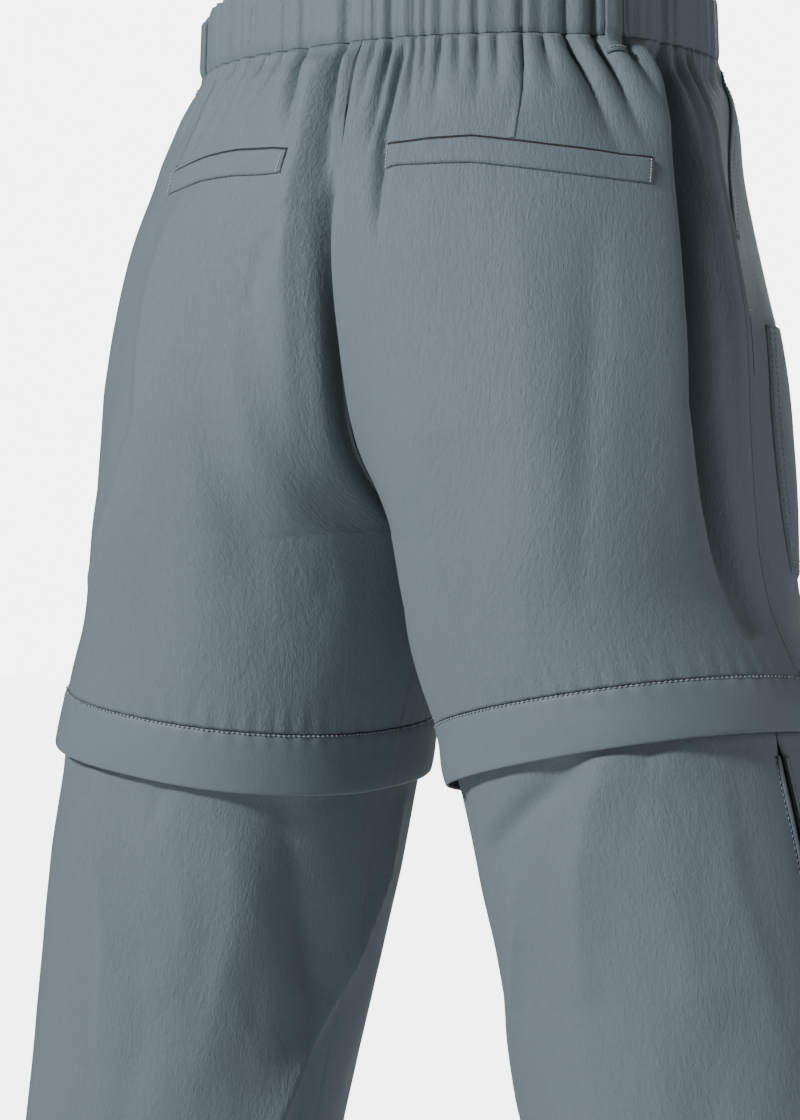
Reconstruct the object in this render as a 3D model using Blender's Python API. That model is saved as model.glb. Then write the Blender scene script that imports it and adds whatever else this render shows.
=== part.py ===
"""Convertible zip-off trousers as worn: metres, +Z up, the wearer faces -Y, origin at the waist.

Every panel lies on one form: rings round each leg, each ring a rounded shape cut by the middle
plane above the fork.  u runs round a ring (0 inner front, 0.5 side seam, 1 inner back) and drop
runs down from the waist seam.
"""
import math

import bmesh
import bpy
import numpy as np

BAND_TOP = 0.020
BAND_BOTTOM = -0.020
BAND_CLOTH = 0.0030
CLOTH = 0.0016
GAP = 0.0003
FORK = 0.285
KNEE = 0.393
HEM = 0.978
SQUARENESS = 2.2
FLAP_HEIGHT = 0.036
FLAP_CLOTH = 0.0020
FLAP_FLARE = 0.0042
KNEE_TAPE = 0.0012
KNEE_TAPE_ABOVE = 0.006
KNEE_TAPE_BELOW = 0.018
SIDE_ZIP_U = 0.55
LAP_END = 0.015
SLIDER_DROP = 0.962
BACK_COLUMNS = 24
FRONT_COLUMNS = 20
LOWER_COLUMNS = 16
BACK_GATHERS = 12
FRONT_GATHERS = 10
LOOP_U = 0.642
FRONT_LOOP_U = 0.22

FORM_COLUMNS = ("drop", "outer", "inner", "middle", "front", "back")
FORM = np.array([
    (0.000, 0.160, -0.160, 0.000, 0.128, 0.129),
    (0.030, 0.178, -0.174, 0.002, 0.135, 0.136),
    (0.075, 0.192, -0.165, 0.006, 0.139, 0.138),
    (0.120, 0.204, -0.134, 0.011, 0.141, 0.137),
    (0.175, 0.215, -0.084, 0.015, 0.140, 0.134),
    (0.230, 0.222, -0.038, 0.018, 0.137, 0.132),
    (0.285, 0.229, 0.0002, 0.020, 0.131, 0.130),
    (0.340, 0.237, 0.012, 0.022, 0.123, 0.124),
    (0.400, 0.255, 0.030, 0.024, 0.118, 0.117),
    (0.450, 0.264, 0.042, 0.026, 0.113, 0.109),
    (0.550, 0.283, 0.068, 0.028, 0.104, 0.101),
    (0.700, 0.304, 0.103, 0.030, 0.098, 0.095),
    (0.850, 0.327, 0.133, 0.030, 0.093, 0.091),
    (0.990, 0.346, 0.161, 0.030, 0.087, 0.087),
])
# Length of half a ring as it would be without the cloth that the fork adds.
USUAL_LENGTH = np.array([
    (0.000, 0.235), (0.030, 0.254), (0.075, 0.267), (0.120, 0.279), (0.175, 0.291),
    (0.230, 0.304), (0.285, 0.327), (0.340, 0.352), (0.400, 0.366), (0.450, 0.355),
    (0.700, 0.315), (0.990, 0.288),
])
INNER_CROWDING = 6
# The left foot is carried forwards and the right one back, as in a slow step.
CARRIAGE_COLUMNS = ("drop", "out", "rear", "rise", "tip out", "tip back")
CARRIAGE = {
    1: np.array([
        (0.000, 0.002, 0.000, 0.000, 0.0, 0.0),
        (0.120, 0.009, 0.005, 0.003, 0.0, 0.0),
        (0.285, 0.001, 0.003, 0.001, 4.8, -2.0),
        (0.450, -0.003, 0.000, 0.004, 8.6, -4.0),
        (0.700, 0.000, -0.009, 0.002, 8.0, 0.0),
        (0.990, 0.000, -0.002, 0.000, 7.0, 4.0)]),
    -1: np.array([
        (0.000, 0.004, 0.000, 0.000, 0.0, 0.0),
        (0.120, -0.003, 0.001, 0.000, 0.0, 0.0),
        (0.285, -0.006, 0.004, -0.005, 5.9, 2.0),
        (0.450, -0.002, -0.005, 0.008, 11.0, 4.8),
        (0.700, 0.005, -0.001, 0.000, 8.0, 3.0),
        (0.990, 0.000, 0.000, 0.000, 7.0, 0.0)]),
}
# Largest folds: leg, u and drop at the head and the foot, half width, height (below zero a trough).
FOLDS_UPPER = [
    (-1, 0.570, 0.000, 0.572, 0.340, 0.0125, -0.0120),
    (-1, 0.612, 0.010, 0.618, 0.330, 0.0180, 0.0040),
    (-1, 0.525, 0.020, 0.520, 0.300, 0.0120, 0.0030),
    (1, 0.986, 0.030, 0.984, 0.170, 0.0090, -0.0050),
    (1, 0.812, 0.090, 0.682, 0.380, 0.0260, 0.0065),
    (1, 0.700, 0.120, 0.600, 0.370, 0.0300, -0.0050),
    (1, 0.560, 0.010, 0.560, 0.200, 0.0130, -0.0060),
    (-1, 0.840, 0.250, 0.780, 0.375, 0.0300, -0.0040),
    (-1, 0.070, 0.050, 0.160, 0.330, 0.0200, -0.0060),
    (1, 0.080, 0.060, 0.150, 0.350, 0.0200, -0.0060),
    (-1, 0.040, 0.240, 0.090, 0.370, 0.0180, 0.0040),
    (1, 0.050, 0.230, 0.100, 0.360, 0.0180, 0.0040),
]
FOLDS_LOWER = [
    (-1, 0.730, 0.425, 0.850, 0.500, 0.0200, -0.0060),
    (-1, 0.700, 0.430, 0.770, 0.560, 0.0180, 0.0050),
    (-1, 0.820, 0.480, 0.900, 0.700, 0.0160, 0.0050),
    (-1, 0.640, 0.560, 0.780, 0.800, 0.0260, -0.0050),
    (1, 0.690, 0.425, 0.740, 0.620, 0.0200, 0.0060),
    (1, 0.890, 0.430, 0.975, 0.700, 0.0260, -0.0065),
    (1, 0.995, 0.455, 0.900, 0.760, 0.0140, 0.0055),
    (1, 0.300, 0.450, 0.200, 0.760, 0.0240, 0.0050),
    (-1, 0.280, 0.450, 0.180, 0.780, 0.0240, 0.0050),
    (1, 0.350, 0.840, 0.150, 0.930, 0.0200, -0.0060),
    (-1, 0.380, 0.850, 0.160, 0.920, 0.0200, -0.0060),
    (1, 0.880, 0.860, 0.680, 0.930, 0.0200, -0.0050),
    (-1, 0.900, 0.850, 0.700, 0.940, 0.0200, -0.0050),
]


def soft_step(x, low, high):
    t = np.clip((np.asarray(x, float) - low) / (high - low), 0.0, 1.0)
    return t * t * (3.0 - 2.0 * t)


def between(table, drop):
    """A row of a table at any drop, on a curve that never overshoots its rows."""
    x, y = table[:, 0], table[:, 1:]
    step = np.diff(x)[:, None]
    rise = np.diff(y, axis=0) / step
    both = rise[:-1] * rise[1:]
    turning = both <= 0
    total = np.where(turning, 1.0, rise[:-1] + rise[1:])
    slope = np.zeros_like(y)
    slope[1:-1] = np.where(turning, 0.0, 2 * both / total)
    slope[0], slope[-1] = rise[0], rise[-1]
    i = int(np.clip(np.searchsorted(x, drop) - 1, 0, len(x) - 2))
    h = step[i]
    t = (drop - x[i]) / step[i, 0]
    return ((1 + 2 * t) * (1 - t) ** 2 * y[i] + t * (1 - t) ** 2 * h * slope[i]
            + t * t * (3 - 2 * t) * y[i + 1] + t * t * (t - 1) * h * slope[i + 1])


def leg_form(side, angle, drop):
    """Points of a ring: angle 0 is the inner side, half a turn the outer side, front first."""
    outer, inner, middle, front, back = between(FORM, drop)
    out, rear, rise, tip_out, tip_back = between(CARRIAGE[side], drop)
    centre = (outer + inner) / 2
    half = (outer - inner) / 2
    power = 2 / SQUARENESS
    c, s = np.cos(angle), np.sin(angle)
    across = -half * np.sign(c) * np.abs(c) ** power
    along = -np.where(s > 0, front, back) * np.sign(s) * np.abs(s) ** power
    free = np.maximum(soft_step(centre + across, 0.0, 0.09), soft_step(drop, FORK, FORK + 0.10))
    lean = np.radians(tip_out) * free
    tilt = np.radians(tip_back) * free
    x = centre + across * np.cos(lean) + free * out
    y = middle + along * np.cos(tilt) + free * rear
    z = BAND_BOTTOM - drop + across * np.sin(lean) + along * np.sin(tilt) + free * rise
    return np.stack([side * x, y, z], axis=-1)


def ring_angles(side, drop, u):
    """Angles of the places u on a ring, and the lengths of its front and back halves.

    The cloth that the fork adds goes to the inner end, so the other columns run straight on.
    """
    outer, inner = between(FORM, drop)[:2]
    reach = ((outer + inner) / 2 - GAP / 2) / ((outer - inner) / 2)
    start = math.acos(min(max(reach, 0.0), 1.0) ** (SQUARENESS / 2))
    usual = float(between(USUAL_LENGTH, drop)[0])
    result = np.empty(len(u))
    lengths = []
    for last, front in ((start, True), (2 * math.pi - start, False)):
        angle = np.linspace(math.pi, last, 361)
        points = leg_form(side, angle, drop)
        length = np.r_[0.0, np.cumsum(np.linalg.norm(np.diff(points, axis=0), axis=1))]
        here = (u <= 0.5) if front else (u >= 0.5)
        share = np.abs(u[here] - 0.5) * 2
        place = usual * share + (length[-1] - usual) * share ** INNER_CROWDING
        result[here] = np.interp(place, length, angle)
        lengths.append(float(length[-1]))
    return result, lengths


def ring(side, drop, u):
    """Points of a ring, the ways straight out of the cloth there, and its two half lengths."""
    angle, lengths = ring_angles(side, drop, u)
    points = leg_form(side, angle, drop)
    around = leg_form(side, angle + 1e-3, drop) - leg_form(side, angle - 1e-3, drop)
    down = leg_form(side, angle, drop + 5e-4) - leg_form(side, angle, max(drop - 5e-4, 0.0))
    out = np.cross(down, around) * side
    out /= np.linalg.norm(out, axis=1, keepdims=True)
    out[:, 2] *= float(soft_step(drop, 0.0, 0.012))
    out /= np.linalg.norm(out, axis=1, keepdims=True)
    return points, out, lengths


def gathers(side, drop, u):
    """Height of the gathers that the elastic draws up below the waist."""
    back = np.cos(2 * math.pi * (2 * u - 1) * BACK_GATHERS)
    front = np.cos(2 * math.pi * (1 - 2 * u) * FRONT_GATHERS)
    uneven = 1.0 + 0.35 * np.sin(2 * math.pi * (3.3 * u + 0.2 * side))
    reach = 0.060 + 0.018 * np.sin(2 * math.pi * (5.7 * u + 0.3 * side))
    fade = 1.0 - soft_step(drop / reach, 0.25, 1.0)
    grow = 0.45 + 0.55 * float(soft_step(drop, 0.0, 0.012))
    height = np.where(u >= 0.5, 0.0030 * back, 0.0022 * front * soft_step(u - 1.15 * drop, 0.380, 0.415))
    quiet = (1.0 - np.exp(-((u - LOOP_U) / 0.03) ** 2)) * (1.0 - soft_step(u, 0.965, 0.99))
    return height * uneven * fade * grow * quiet


def folds(side, drop, u, lengths):
    """Height of the large folds: soft ridges and troughs that run down the cloth."""
    metres = np.where(u < 0.5, 2 * lengths[0], 2 * lengths[1])
    height = np.zeros(len(u))
    upper = drop <= KNEE
    for leg, u_head, head, u_foot, foot, width, tall in FOLDS_UPPER if upper else FOLDS_LOWER:
        if leg != side or not head < drop < foot:
            continue
        t = (drop - head) / (foot - head)
        line = u_head + (u_foot - u_head) * t
        run = math.sin(math.pi * min(max(t, 0.0), 1.0) ** 0.8) ** 0.7
        height += tall * run * np.exp(-((u - line) * metres / width) ** 2)
    ends = soft_step(KNEE - drop, 0.0, 0.05) if upper else soft_step(drop, KNEE + 0.03, KNEE + 0.07)
    return height * ends


def cloth(side, drop, u, lift=0.0):
    """Points of the garment's outer face, moved out by lift along the form's own direction."""
    u = np.asarray(u, float)
    points, out, lengths = ring(side, drop, u)
    height = gathers(side, drop, u) + folds(side, drop, u, lengths)
    outer = points + out * (height + np.asarray(lift, float))[:, None]
    outer[:, 0] = side * np.maximum(side * outer[:, 0], GAP / 2)
    return outer, out


def trimmed(side, drop, u, first, last):
    """Places u with the first and last moved in by the lengths first and last."""
    lengths = ring_angles(side, drop, np.array([0.5]))[1]
    usual = float(between(USUAL_LENGTH, drop)[0])
    u = np.array(u, float)
    ends = []
    for place, inwards, length in ((u[0], 1, first), (u[-1], -1, last)):
        half = lengths[0] if place < 0.5 or (place == 0.5 and inwards < 0) else lengths[1]
        share = abs(place - 0.5) * 2
        scale = 2 * (usual + (half - usual) * INNER_CROWDING * share ** (INNER_CROWDING - 1))
        ends.append(place + inwards * length / scale)
    return ends[0] + (u - u[0]) * (ends[1] - ends[0]) / (u[-1] - u[0])


def make(name, verts, faces, colour, roughness=0.75, metallic=0.0):
    mesh = bpy.data.meshes.new(name)
    mesh.from_pydata([tuple(map(float, v)) for v in verts], [], faces)
    shape = bmesh.new()
    shape.from_mesh(mesh)
    bmesh.ops.recalc_face_normals(shape, faces=shape.faces)
    shape.to_mesh(mesh)
    shape.free()
    node = bpy.data.objects.new(name, mesh)
    garment.objects.link(node)
    material = bpy.data.materials.new(name)
    material.use_nodes = True
    shader = material.node_tree.nodes["Principled BSDF"]
    shader.inputs["Base Color"].default_value = (*colour, 1.0)
    shader.inputs["Roughness"].default_value = roughness
    shader.inputs["Metallic"].default_value = metallic
    mesh.materials.append(material)
    return node


def wall(name, outer, inner, colour, round_=False, **finish):
    """A closed cloth wall between rows of outer and inner points; a row may halve its columns."""
    rows = list(outer) + list(inner)
    starts = np.cumsum([0] + [len(row) for row in rows])
    verts = np.concatenate(rows)
    count = len(outer)
    faces = []
    for skin in (0, count):
        for r in range(skin, skin + count - 1):
            a, b = int(starts[r]), int(starts[r + 1])
            n, m = len(rows[r]), len(rows[r + 1])
            if n == m:
                for i in range(n if round_ else n - 1):
                    j = (i + 1) % n
                    faces.append((a + i, a + j, b + j, b + i))
            else:
                for i in range(m - 1):
                    faces.append((a + 2 * i, a + 2 * i + 1, b + i))
                    faces.append((a + 2 * i + 1, b + i + 1, b + i))
                    faces.append((a + 2 * i + 1, a + 2 * i + 2, b + i + 1))
    for r in (0, count - 1):
        a, b, n = int(starts[r]), int(starts[r + count]), len(rows[r])
        for i in range(n if round_ else n - 1):
            j = (i + 1) % n
            faces.append((a + i, a + j, b + j, b + i))
    if not round_:
        for r in range(count - 1):
            for end in (0, -1):
                a = int(starts[r]) + end % len(rows[r])
                b = int(starts[r + 1]) + end % len(rows[r + 1])
                c = int(starts[count + r + 1]) + end % len(rows[r + 1])
                d = int(starts[count + r]) + end % len(rows[r])
                faces.append((a, b, c, d))
    return make(name, verts, faces, colour, **finish)


SHELL = (0.165, 0.195, 0.215)
SHELL_DEEP = (0.140, 0.168, 0.188)
TRIM = (0.120, 0.142, 0.158)
TAPE = (0.045, 0.052, 0.058)
HARD = (0.060, 0.066, 0.072)

for old in list(bpy.data.objects):
    bpy.data.objects.remove(old, do_unlink=True)
garment = bpy.data.collections.new("convertible_trousers")
bpy.context.scene.collection.children.link(garment)
cutters = bpy.data.collections.new("helper_shapes")
bpy.context.scene.collection.children.link(cutters)

SIDES = (("left", 1), ("right", -1))
GATHER_DROPS = (GAP / 2, 0.012, 0.034, 0.062)
PLAIN_DROPS = (0.077, 0.100, 0.130, 0.165, 0.200, 0.232, 0.256, 0.272, 0.281, 0.2849,
               0.300, 0.318, 0.352, KNEE - GAP / 2)
FRONT_GATHER_DROPS = (GAP / 2, 0.014, 0.034, 0.056)


def panel_rows(side, front):
    """Drops and places of the points of an upper panel."""
    low, high = (0.0, 0.5) if front else (0.5, 1.0)
    plain = FRONT_COLUMNS if front else BACK_COLUMNS
    head = FRONT_GATHER_DROPS if front else GATHER_DROPS
    rows = [(drop, 2 * plain) for drop in head] + [(drop, plain) for drop in PLAIN_DROPS]
    for drop, columns in rows:
        inner_end = GAP / 2 if drop > FORK - 0.0002 else 0.0
        ends = (inner_end, GAP / 2) if front else (GAP / 2, inner_end)
        yield drop, trimmed(side, drop, np.linspace(low, high, columns + 1), *ends)


# Upper panels: fronts and backs of both legs, from the waist seam to the knee.
upper_points = {}
for label, side in SIDES:
    for front in (True, False):
        outer, inner = [], []
        for drop, u in panel_rows(side, front):
            points, out = cloth(side, drop, u)
            outer.append(points)
            inner.append(points - out * CLOTH)
        for row in inner:
            row[:, 0] = side * np.maximum(side * row[:, 0], GAP / 2)
        name = ("front_" if front else "back_") + label
        upper_points[name] = outer
        wall(name, outer, inner, SHELL)


def frame(across, out):
    """Three square directions: across, out and down the cloth."""
    across = across / np.linalg.norm(across)
    out = out - across * np.dot(out, across)
    out = out / np.linalg.norm(out)
    down = np.cross(across, out)
    return across, out, down if down[2] < 0 else -down


def block(name, centre, axes, size, colour):
    """A box with its sides along the axes."""
    verts = []
    for i in (-1, 1):
        for j in (-1, 1):
            for k in (-1, 1):
                verts.append(centre + axes[0] * i * size[0] / 2 + axes[1] * j * size[1] / 2
                             + axes[2] * k * size[2] / 2)
    faces = [(0, 1, 3, 2), (4, 6, 7, 5), (0, 4, 5, 1), (2, 3, 7, 6), (0, 2, 6, 4), (1, 5, 7, 3)]
    return make(name, verts, faces, colour, roughness=0.45)


def rod(name, centre, axis, radius, length, colour):
    """A round bar along an axis."""
    side_way = np.cross(axis, np.array([0.0, 0.0, 1.0]))
    side_way = side_way / np.linalg.norm(side_way)
    other = np.cross(axis, side_way)
    angles = np.linspace(0.0, 2 * math.pi, 20, endpoint=False)
    verts = [centre + axis * end * length / 2 + radius * (side_way * math.cos(a) + other * math.sin(a))
             for end in (-1, 1) for a in angles]
    faces = [(i, (i + 1) % 20, 20 + (i + 1) % 20, 20 + i) for i in range(20)]
    faces += [tuple(range(20)), tuple(range(20, 40))]
    return make(name, verts, faces, colour, roughness=0.45)


def combine(node, cutter, operation):
    """Join or cut a node with a helper shape, which is hidden in its own collection."""
    garment.objects.unlink(cutter)
    cutters.objects.link(cutter)
    cutter.hide_render = True
    cutter.display_type = "WIRE"
    step = node.modifiers.new(operation.lower(), "BOOLEAN")
    step.operation = operation
    step.solver = "EXACT"
    step.object = cutter


def on_panel(name, side, u, drop, lift):
    """A point of an upper panel's own facets, moved out by lift."""
    front = name.startswith("front")
    rows = list(panel_rows(side, front))
    drops = [row[0] for row in rows]
    r = int(np.clip(np.searchsorted(drops, drop) - 1, 0, len(rows) - 2))
    t = (drop - drops[r]) / (drops[r + 1] - drops[r])
    ends = [np.array([np.interp(u, rows[k][1], upper_points[name][k][:, axis]) for axis in range(3)])
            for k in (r, r + 1)]
    out = ring(side, drop, np.array([u]))[1][0]
    return ends[0] * (1 - t) + ends[1] * t + out * lift


# Waistband: butts at the lap on the wearer's right of the middle; narrower at its top edge.
def band_row(height, inwards):
    places = [(-1, u) for u in np.linspace(LAP_END / 2 / 0.235, 0.0, 3)[:-1]]
    places += [(1, u) for u in np.linspace(0.0, 0.5, 2 * FRONT_COLUMNS + 1)[:-1]]
    places += [(1, u) for u in np.linspace(0.5, 1.0, 2 * BACK_COLUMNS + 1)]
    places += [(-1, u) for u in np.linspace(1.0, 0.5, 2 * BACK_COLUMNS + 1)[1:]]
    places += [(-1, u) for u in np.linspace(0.5, (LAP_END + GAP) / 2 / 0.235, 2 * FRONT_COLUMNS - 1)[1:]]
    points = []
    for side, u in places:
        where, out, _ = ring(side, 0.0, np.array([u]))
        swell = gathers(side, 0.0, np.array([u]))[0]
        point = where[0] + out[0] * (swell - inwards - 0.0015 * height / (BAND_TOP - BAND_BOTTOM))
        points.append((point[0], point[1], BAND_BOTTOM + height))
    return np.array(points)


heights = (GAP / 2, 0.022, BAND_TOP - BAND_BOTTOM)
wall("waistband", [band_row(h, 0.0) for h in heights], [band_row(h, BAND_CLOTH) for h in heights],
     SHELL)

# Back pocket welts: one strip each, on the panel's own points moved out.
WELTS = {"left": (8, 22), "right": (6, 20)}
for label, side in SIDES:
    first, last = WELTS[label]
    name = "back_" + label
    columns = [0.5 + k / (2 * BACK_COLUMNS) for k in range(first, last + 1)]
    outer, inner = [], []
    for drop in (0.0625, 0.0765):
        outer.append(np.array([on_panel(name, side, u, drop, 0.0019) for u in columns]))
        inner.append(np.array([on_panel(name, side, u, drop, 0.0005) for u in columns]))
    wall("back_welt_" + label, outer, inner, SHELL_DEEP)

# Hand pocket edges: a slanted strip from the waist seam to the side seam.
for label, side in SIDES:
    name = "front_" + label
    outer, inner = [], []
    for across in (0.0, 0.5, 1.0):
        rows = ([], [])
        for t in np.linspace(0.0, 1.0, 15):
            u = 0.372 + (0.490 - 0.372) * t - 0.020 * across
            drop = 0.004 + 0.104 * t ** 0.9 + 0.004 * across
            rows[0].append(on_panel(name, side, u, drop, 0.0021))
            rows[1].append(on_panel(name, side, u, drop, 0.0007))
        outer.append(np.array(rows[0]))
        inner.append(np.array(rows[1]))
    wall("hand_pocket_" + label, outer, inner, SHELL_DEEP)

# Cargo pockets: a pouch that stands off the outer thigh, its edges down on the panel.
for label, side in SIDES:
    name = "front_" + label
    columns = [k / (2 * FRONT_COLUMNS) for k in range(8, 19)]
    outer, inner = [], []
    for r, drop in enumerate((0.165, 0.200, 0.232, 0.272, 0.300, 0.3175)):
        full = math.sin(math.pi * (drop - 0.155) / 0.1725)
        swell = [0.0050 * full * math.sin(math.pi * k / 10) ** 0.6 for k in range(11)]
        outer.append(np.array([on_panel(name, side, u, drop, 0.0021 + s)
                               for u, s in zip(columns, swell)]))
        inner.append(np.array([on_panel(name, side, u, drop, 0.0006 + s)
                               for u, s in zip(columns, swell)]))
    wall("cargo_pocket_" + label, outer, inner, SHELL)

# Belt loops: each stands off the band and is sewn down above and below it.
LOOPS = (("belt_loop_left", 1, LOOP_U), ("belt_loop_right", -1, LOOP_U),
         ("belt_loop_front_left", 1, FRONT_LOOP_U), ("belt_loop_front_right", -1, FRONT_LOOP_U))
for name, side, u in LOOPS:
    outer, inner = [], []
    for height, drop, lift in ((0.0385, None, 0.0004), (0.0350, None, 0.0030), (0.0060, None, 0.0030),
                               (None, 0.0030, 0.0034), (None, 0.0070, 0.0006), (None, 0.0110, 0.0006)):
        rows = ([], [])
        for edge in (-0.0062, 0.0, 0.0062):
            leg, place = side, u + edge / 0.47
            if place > 1.0:
                leg, place = -side, 2.0 - place
            if drop is None:
                where, out, _ = ring(leg, 0.0, np.array([place]))
                base = where[0] - out[0] * 0.0015 * height / (BAND_TOP - BAND_BOTTOM)
                base[2] = BAND_BOTTOM + height
            else:
                where, out = cloth(leg, drop, np.array([place]))
                base = where[0]
            rows[0].append(base + out[0] * (lift + 0.0014))
            rows[1].append(base + out[0] * lift)
        outer.append(np.array(rows[0]))
        inner.append(np.array(rows[1]))
    wall(name, outer, inner, TRIM)

# Waist button.
where, out, _ = ring(1, 0.0, np.array([0.004]))
centre = where[0] + out[0] * 0.0004
centre[2] = 0.0
ANGLES = np.linspace(0.0, 2 * math.pi, 24, endpoint=False)
verts, faces = [], []
for depth, radius in ((0.0, 0.0080), (0.0, 0.0085), (0.0022, 0.0085), (0.0030, 0.0075)):
    verts += [centre + np.array([radius * math.cos(a), -depth, radius * math.sin(a)]) for a in ANGLES]
verts = verts[24:]
for r in range(2):
    faces += [(24 * r + i, 24 * r + (i + 1) % 24, 24 * r + 24 + (i + 1) % 24, 24 * r + 24 + i)
              for i in range(24)]
faces += [tuple(range(24)), tuple(range(48, 72))]
make("waist_button", verts, faces, HARD, roughness=0.45)

# Knee flaps with the zips under them: closed rings on the panels' own columns.
RING_U = np.r_[np.linspace(0.0, 0.5, FRONT_COLUMNS + 1)[:-1], np.linspace(0.5, 1.0, BACK_COLUMNS + 1)[:-1]]
for label, side in SIDES:
    outer, inner = [], []
    for down, flare in ((GAP / 2, 0.0), (0.010, 0.0020), (0.023, 0.0036), (FLAP_HEIGHT, FLAP_FLARE)):
        points, out = cloth(side, KNEE + down, RING_U, flare)
        outer.append(points)
        inner.append(points - out * FLAP_CLOTH)
    wall("knee_flap_" + label, outer, inner, SHELL, round_=True)
    outer, inner = [], []
    for down in (-KNEE_TAPE_ABOVE, 0.006, KNEE_TAPE_BELOW):
        points, out = cloth(side, KNEE + down, RING_U, -FLAP_CLOTH - GAP)
        outer.append(points)
        inner.append(points - out * KNEE_TAPE)
    wall("knee_zip_" + label, outer, inner, TAPE, round_=True)

# Lower legs: a front and a back panel each, open to a narrow slit over the side zip.
LOWER_DROPS = (KNEE + KNEE_TAPE_BELOW + GAP, 0.428, 0.446, 0.490, 0.545, 0.610, 0.690, 0.780, 0.860,
               0.925, HEM)


def lower_lift(drop):
    return -(FLAP_CLOTH + GAP) * (1 - float(soft_step(drop, 0.43, 0.50)))


def slit(drop):
    """Half the width of the opening over the side zip."""
    open_ = float(soft_step(drop, 0.430, 0.446))
    return GAP / 2 + 0.0023 * open_ + 0.0030 * float(soft_step(drop, 0.90, 0.945))


for label, side in SIDES:
    for front in (True, False):
        low, high = (0.0, SIDE_ZIP_U) if front else (SIDE_ZIP_U, 1.0)
        outer, inner = [], []
        for drop in LOWER_DROPS:
            ends = (GAP / 2, slit(drop)) if front else (slit(drop), GAP / 2)
            u = trimmed(side, drop, np.linspace(low, high, LOWER_COLUMNS + 1), *ends)
            points, out = cloth(side, drop, u, lower_lift(drop))
            outer.append(points)
            inner.append(points - out * CLOTH)
        wall(("lower_front_" if front else "lower_back_") + label, outer, inner, SHELL)
    outer, inner = [], []
    for drop in LOWER_DROPS[2:-1] + (HEM - 0.004,):
        half = ring_angles(side, drop, np.array([0.5]))[1][1]
        u = SIDE_ZIP_U + np.array([-0.011, 0.0, 0.011]) / (2 * half)
        points, out = cloth(side, drop, u, lower_lift(drop) - CLOTH - 0.0010)
        outer.append(points)
        inner.append(points - out * KNEE_TAPE)
    wall("side_zip_" + label, outer, inner, TAPE)

    # Side slider at the hem, with a bar between two cheeks that carries the pull tab.
    tape = lower_lift(SLIDER_DROP) - CLOTH - 0.0010
    spots = [cloth(side, SLIDER_DROP + d, np.array([SIDE_ZIP_U]), tape) for d in (-0.005, 0.0, 0.005)]
    down = spots[2][0][0] - spots[0][0][0]
    out = spots[1][1][0]
    across = np.cross(np.array([out[0], out[1], 0.0]), np.array([0.0, 0.0, 1.0]))
    axes = frame(across, np.cross(down, across) * np.sign(np.dot(np.cross(down, across), out)))
    foot = spots[1][0][0]
    pin = foot + axes[1] * 0.0055
    body = block("side_slider_" + label, foot + axes[1] * 0.0018, axes, (0.0074, 0.0026, 0.0110), HARD)
    for end in (-1, 1):
        cheek = block("cutter cheek", pin + axes[0] * end * 0.0021 - axes[1] * 0.0008, axes,
                      (0.0012, 0.0034, 0.0032), HARD)
        combine(body, cheek, "UNION")
    bar = rod("cutter bar", pin, axes[0], 0.0008, 0.0040, HARD)
    combine(body, bar, "UNION")
    level = np.array([out[0], out[1], 0.0])
    hang = frame(across, level)
    tab = rod("pull_tab_" + label, pin, hang[0], 0.0019, 0.0024, HARD)
    neck = block("cutter neck", pin - np.array([0.0, 0.0, 0.0032]), hang, (0.0021, 0.0011, 0.0044), HARD)
    combine(tab, neck, "UNION")
    plate = block("cutter plate", pin - np.array([0.0, 0.0, 0.0125]), hang, (0.0050, 0.0014, 0.0150), HARD)
    combine(tab, plate, "UNION")
    bore = rod("cutter bore", pin, hang[0], 0.00086, 0.0060, HARD)
    combine(tab, bore, "DIFFERENCE")
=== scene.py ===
"""Convertible zip-off trousers of crinkled blue-grey nylon, as worn in a slow step, empty inside."""
import math

import bmesh
import bpy
import numpy as np
from mathutils import Matrix, Vector


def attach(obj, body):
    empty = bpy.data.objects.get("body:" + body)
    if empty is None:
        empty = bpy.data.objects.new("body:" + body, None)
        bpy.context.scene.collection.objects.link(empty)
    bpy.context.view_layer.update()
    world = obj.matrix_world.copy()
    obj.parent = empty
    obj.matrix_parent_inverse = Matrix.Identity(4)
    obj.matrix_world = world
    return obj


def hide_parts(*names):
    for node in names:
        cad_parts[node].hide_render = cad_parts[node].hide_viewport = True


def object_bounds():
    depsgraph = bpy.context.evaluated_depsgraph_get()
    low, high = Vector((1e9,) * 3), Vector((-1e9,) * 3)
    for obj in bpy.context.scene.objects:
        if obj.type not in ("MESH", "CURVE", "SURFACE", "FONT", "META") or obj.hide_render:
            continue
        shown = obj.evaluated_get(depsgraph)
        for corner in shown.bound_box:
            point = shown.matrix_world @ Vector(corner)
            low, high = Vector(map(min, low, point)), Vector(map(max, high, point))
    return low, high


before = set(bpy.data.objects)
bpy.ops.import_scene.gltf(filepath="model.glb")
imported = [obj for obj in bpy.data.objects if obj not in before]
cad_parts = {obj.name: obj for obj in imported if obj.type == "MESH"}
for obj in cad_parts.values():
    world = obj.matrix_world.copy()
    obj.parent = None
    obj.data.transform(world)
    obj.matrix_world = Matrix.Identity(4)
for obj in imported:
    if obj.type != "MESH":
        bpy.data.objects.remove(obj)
cad_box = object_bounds()

# Camera: level at mid thigh behind the right hip, with a long lens.  The window is shifted a little
# because the garment stands right of the middle.
VIEW_TURN = math.radians(213.0)
VIEW_DISTANCE = 1.9
VIEW_HEIGHT = -0.322
PICTURE_ROWS = 1120
METRES_A_ROW = 0.00062
SHIFTED_ROWS = 58
SENSOR = 36.0


def shown(name, data):
    """A new object of this name, in the scene."""
    made = bpy.data.objects.new(name, data)
    bpy.context.scene.collection.objects.link(made)
    return made


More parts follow.
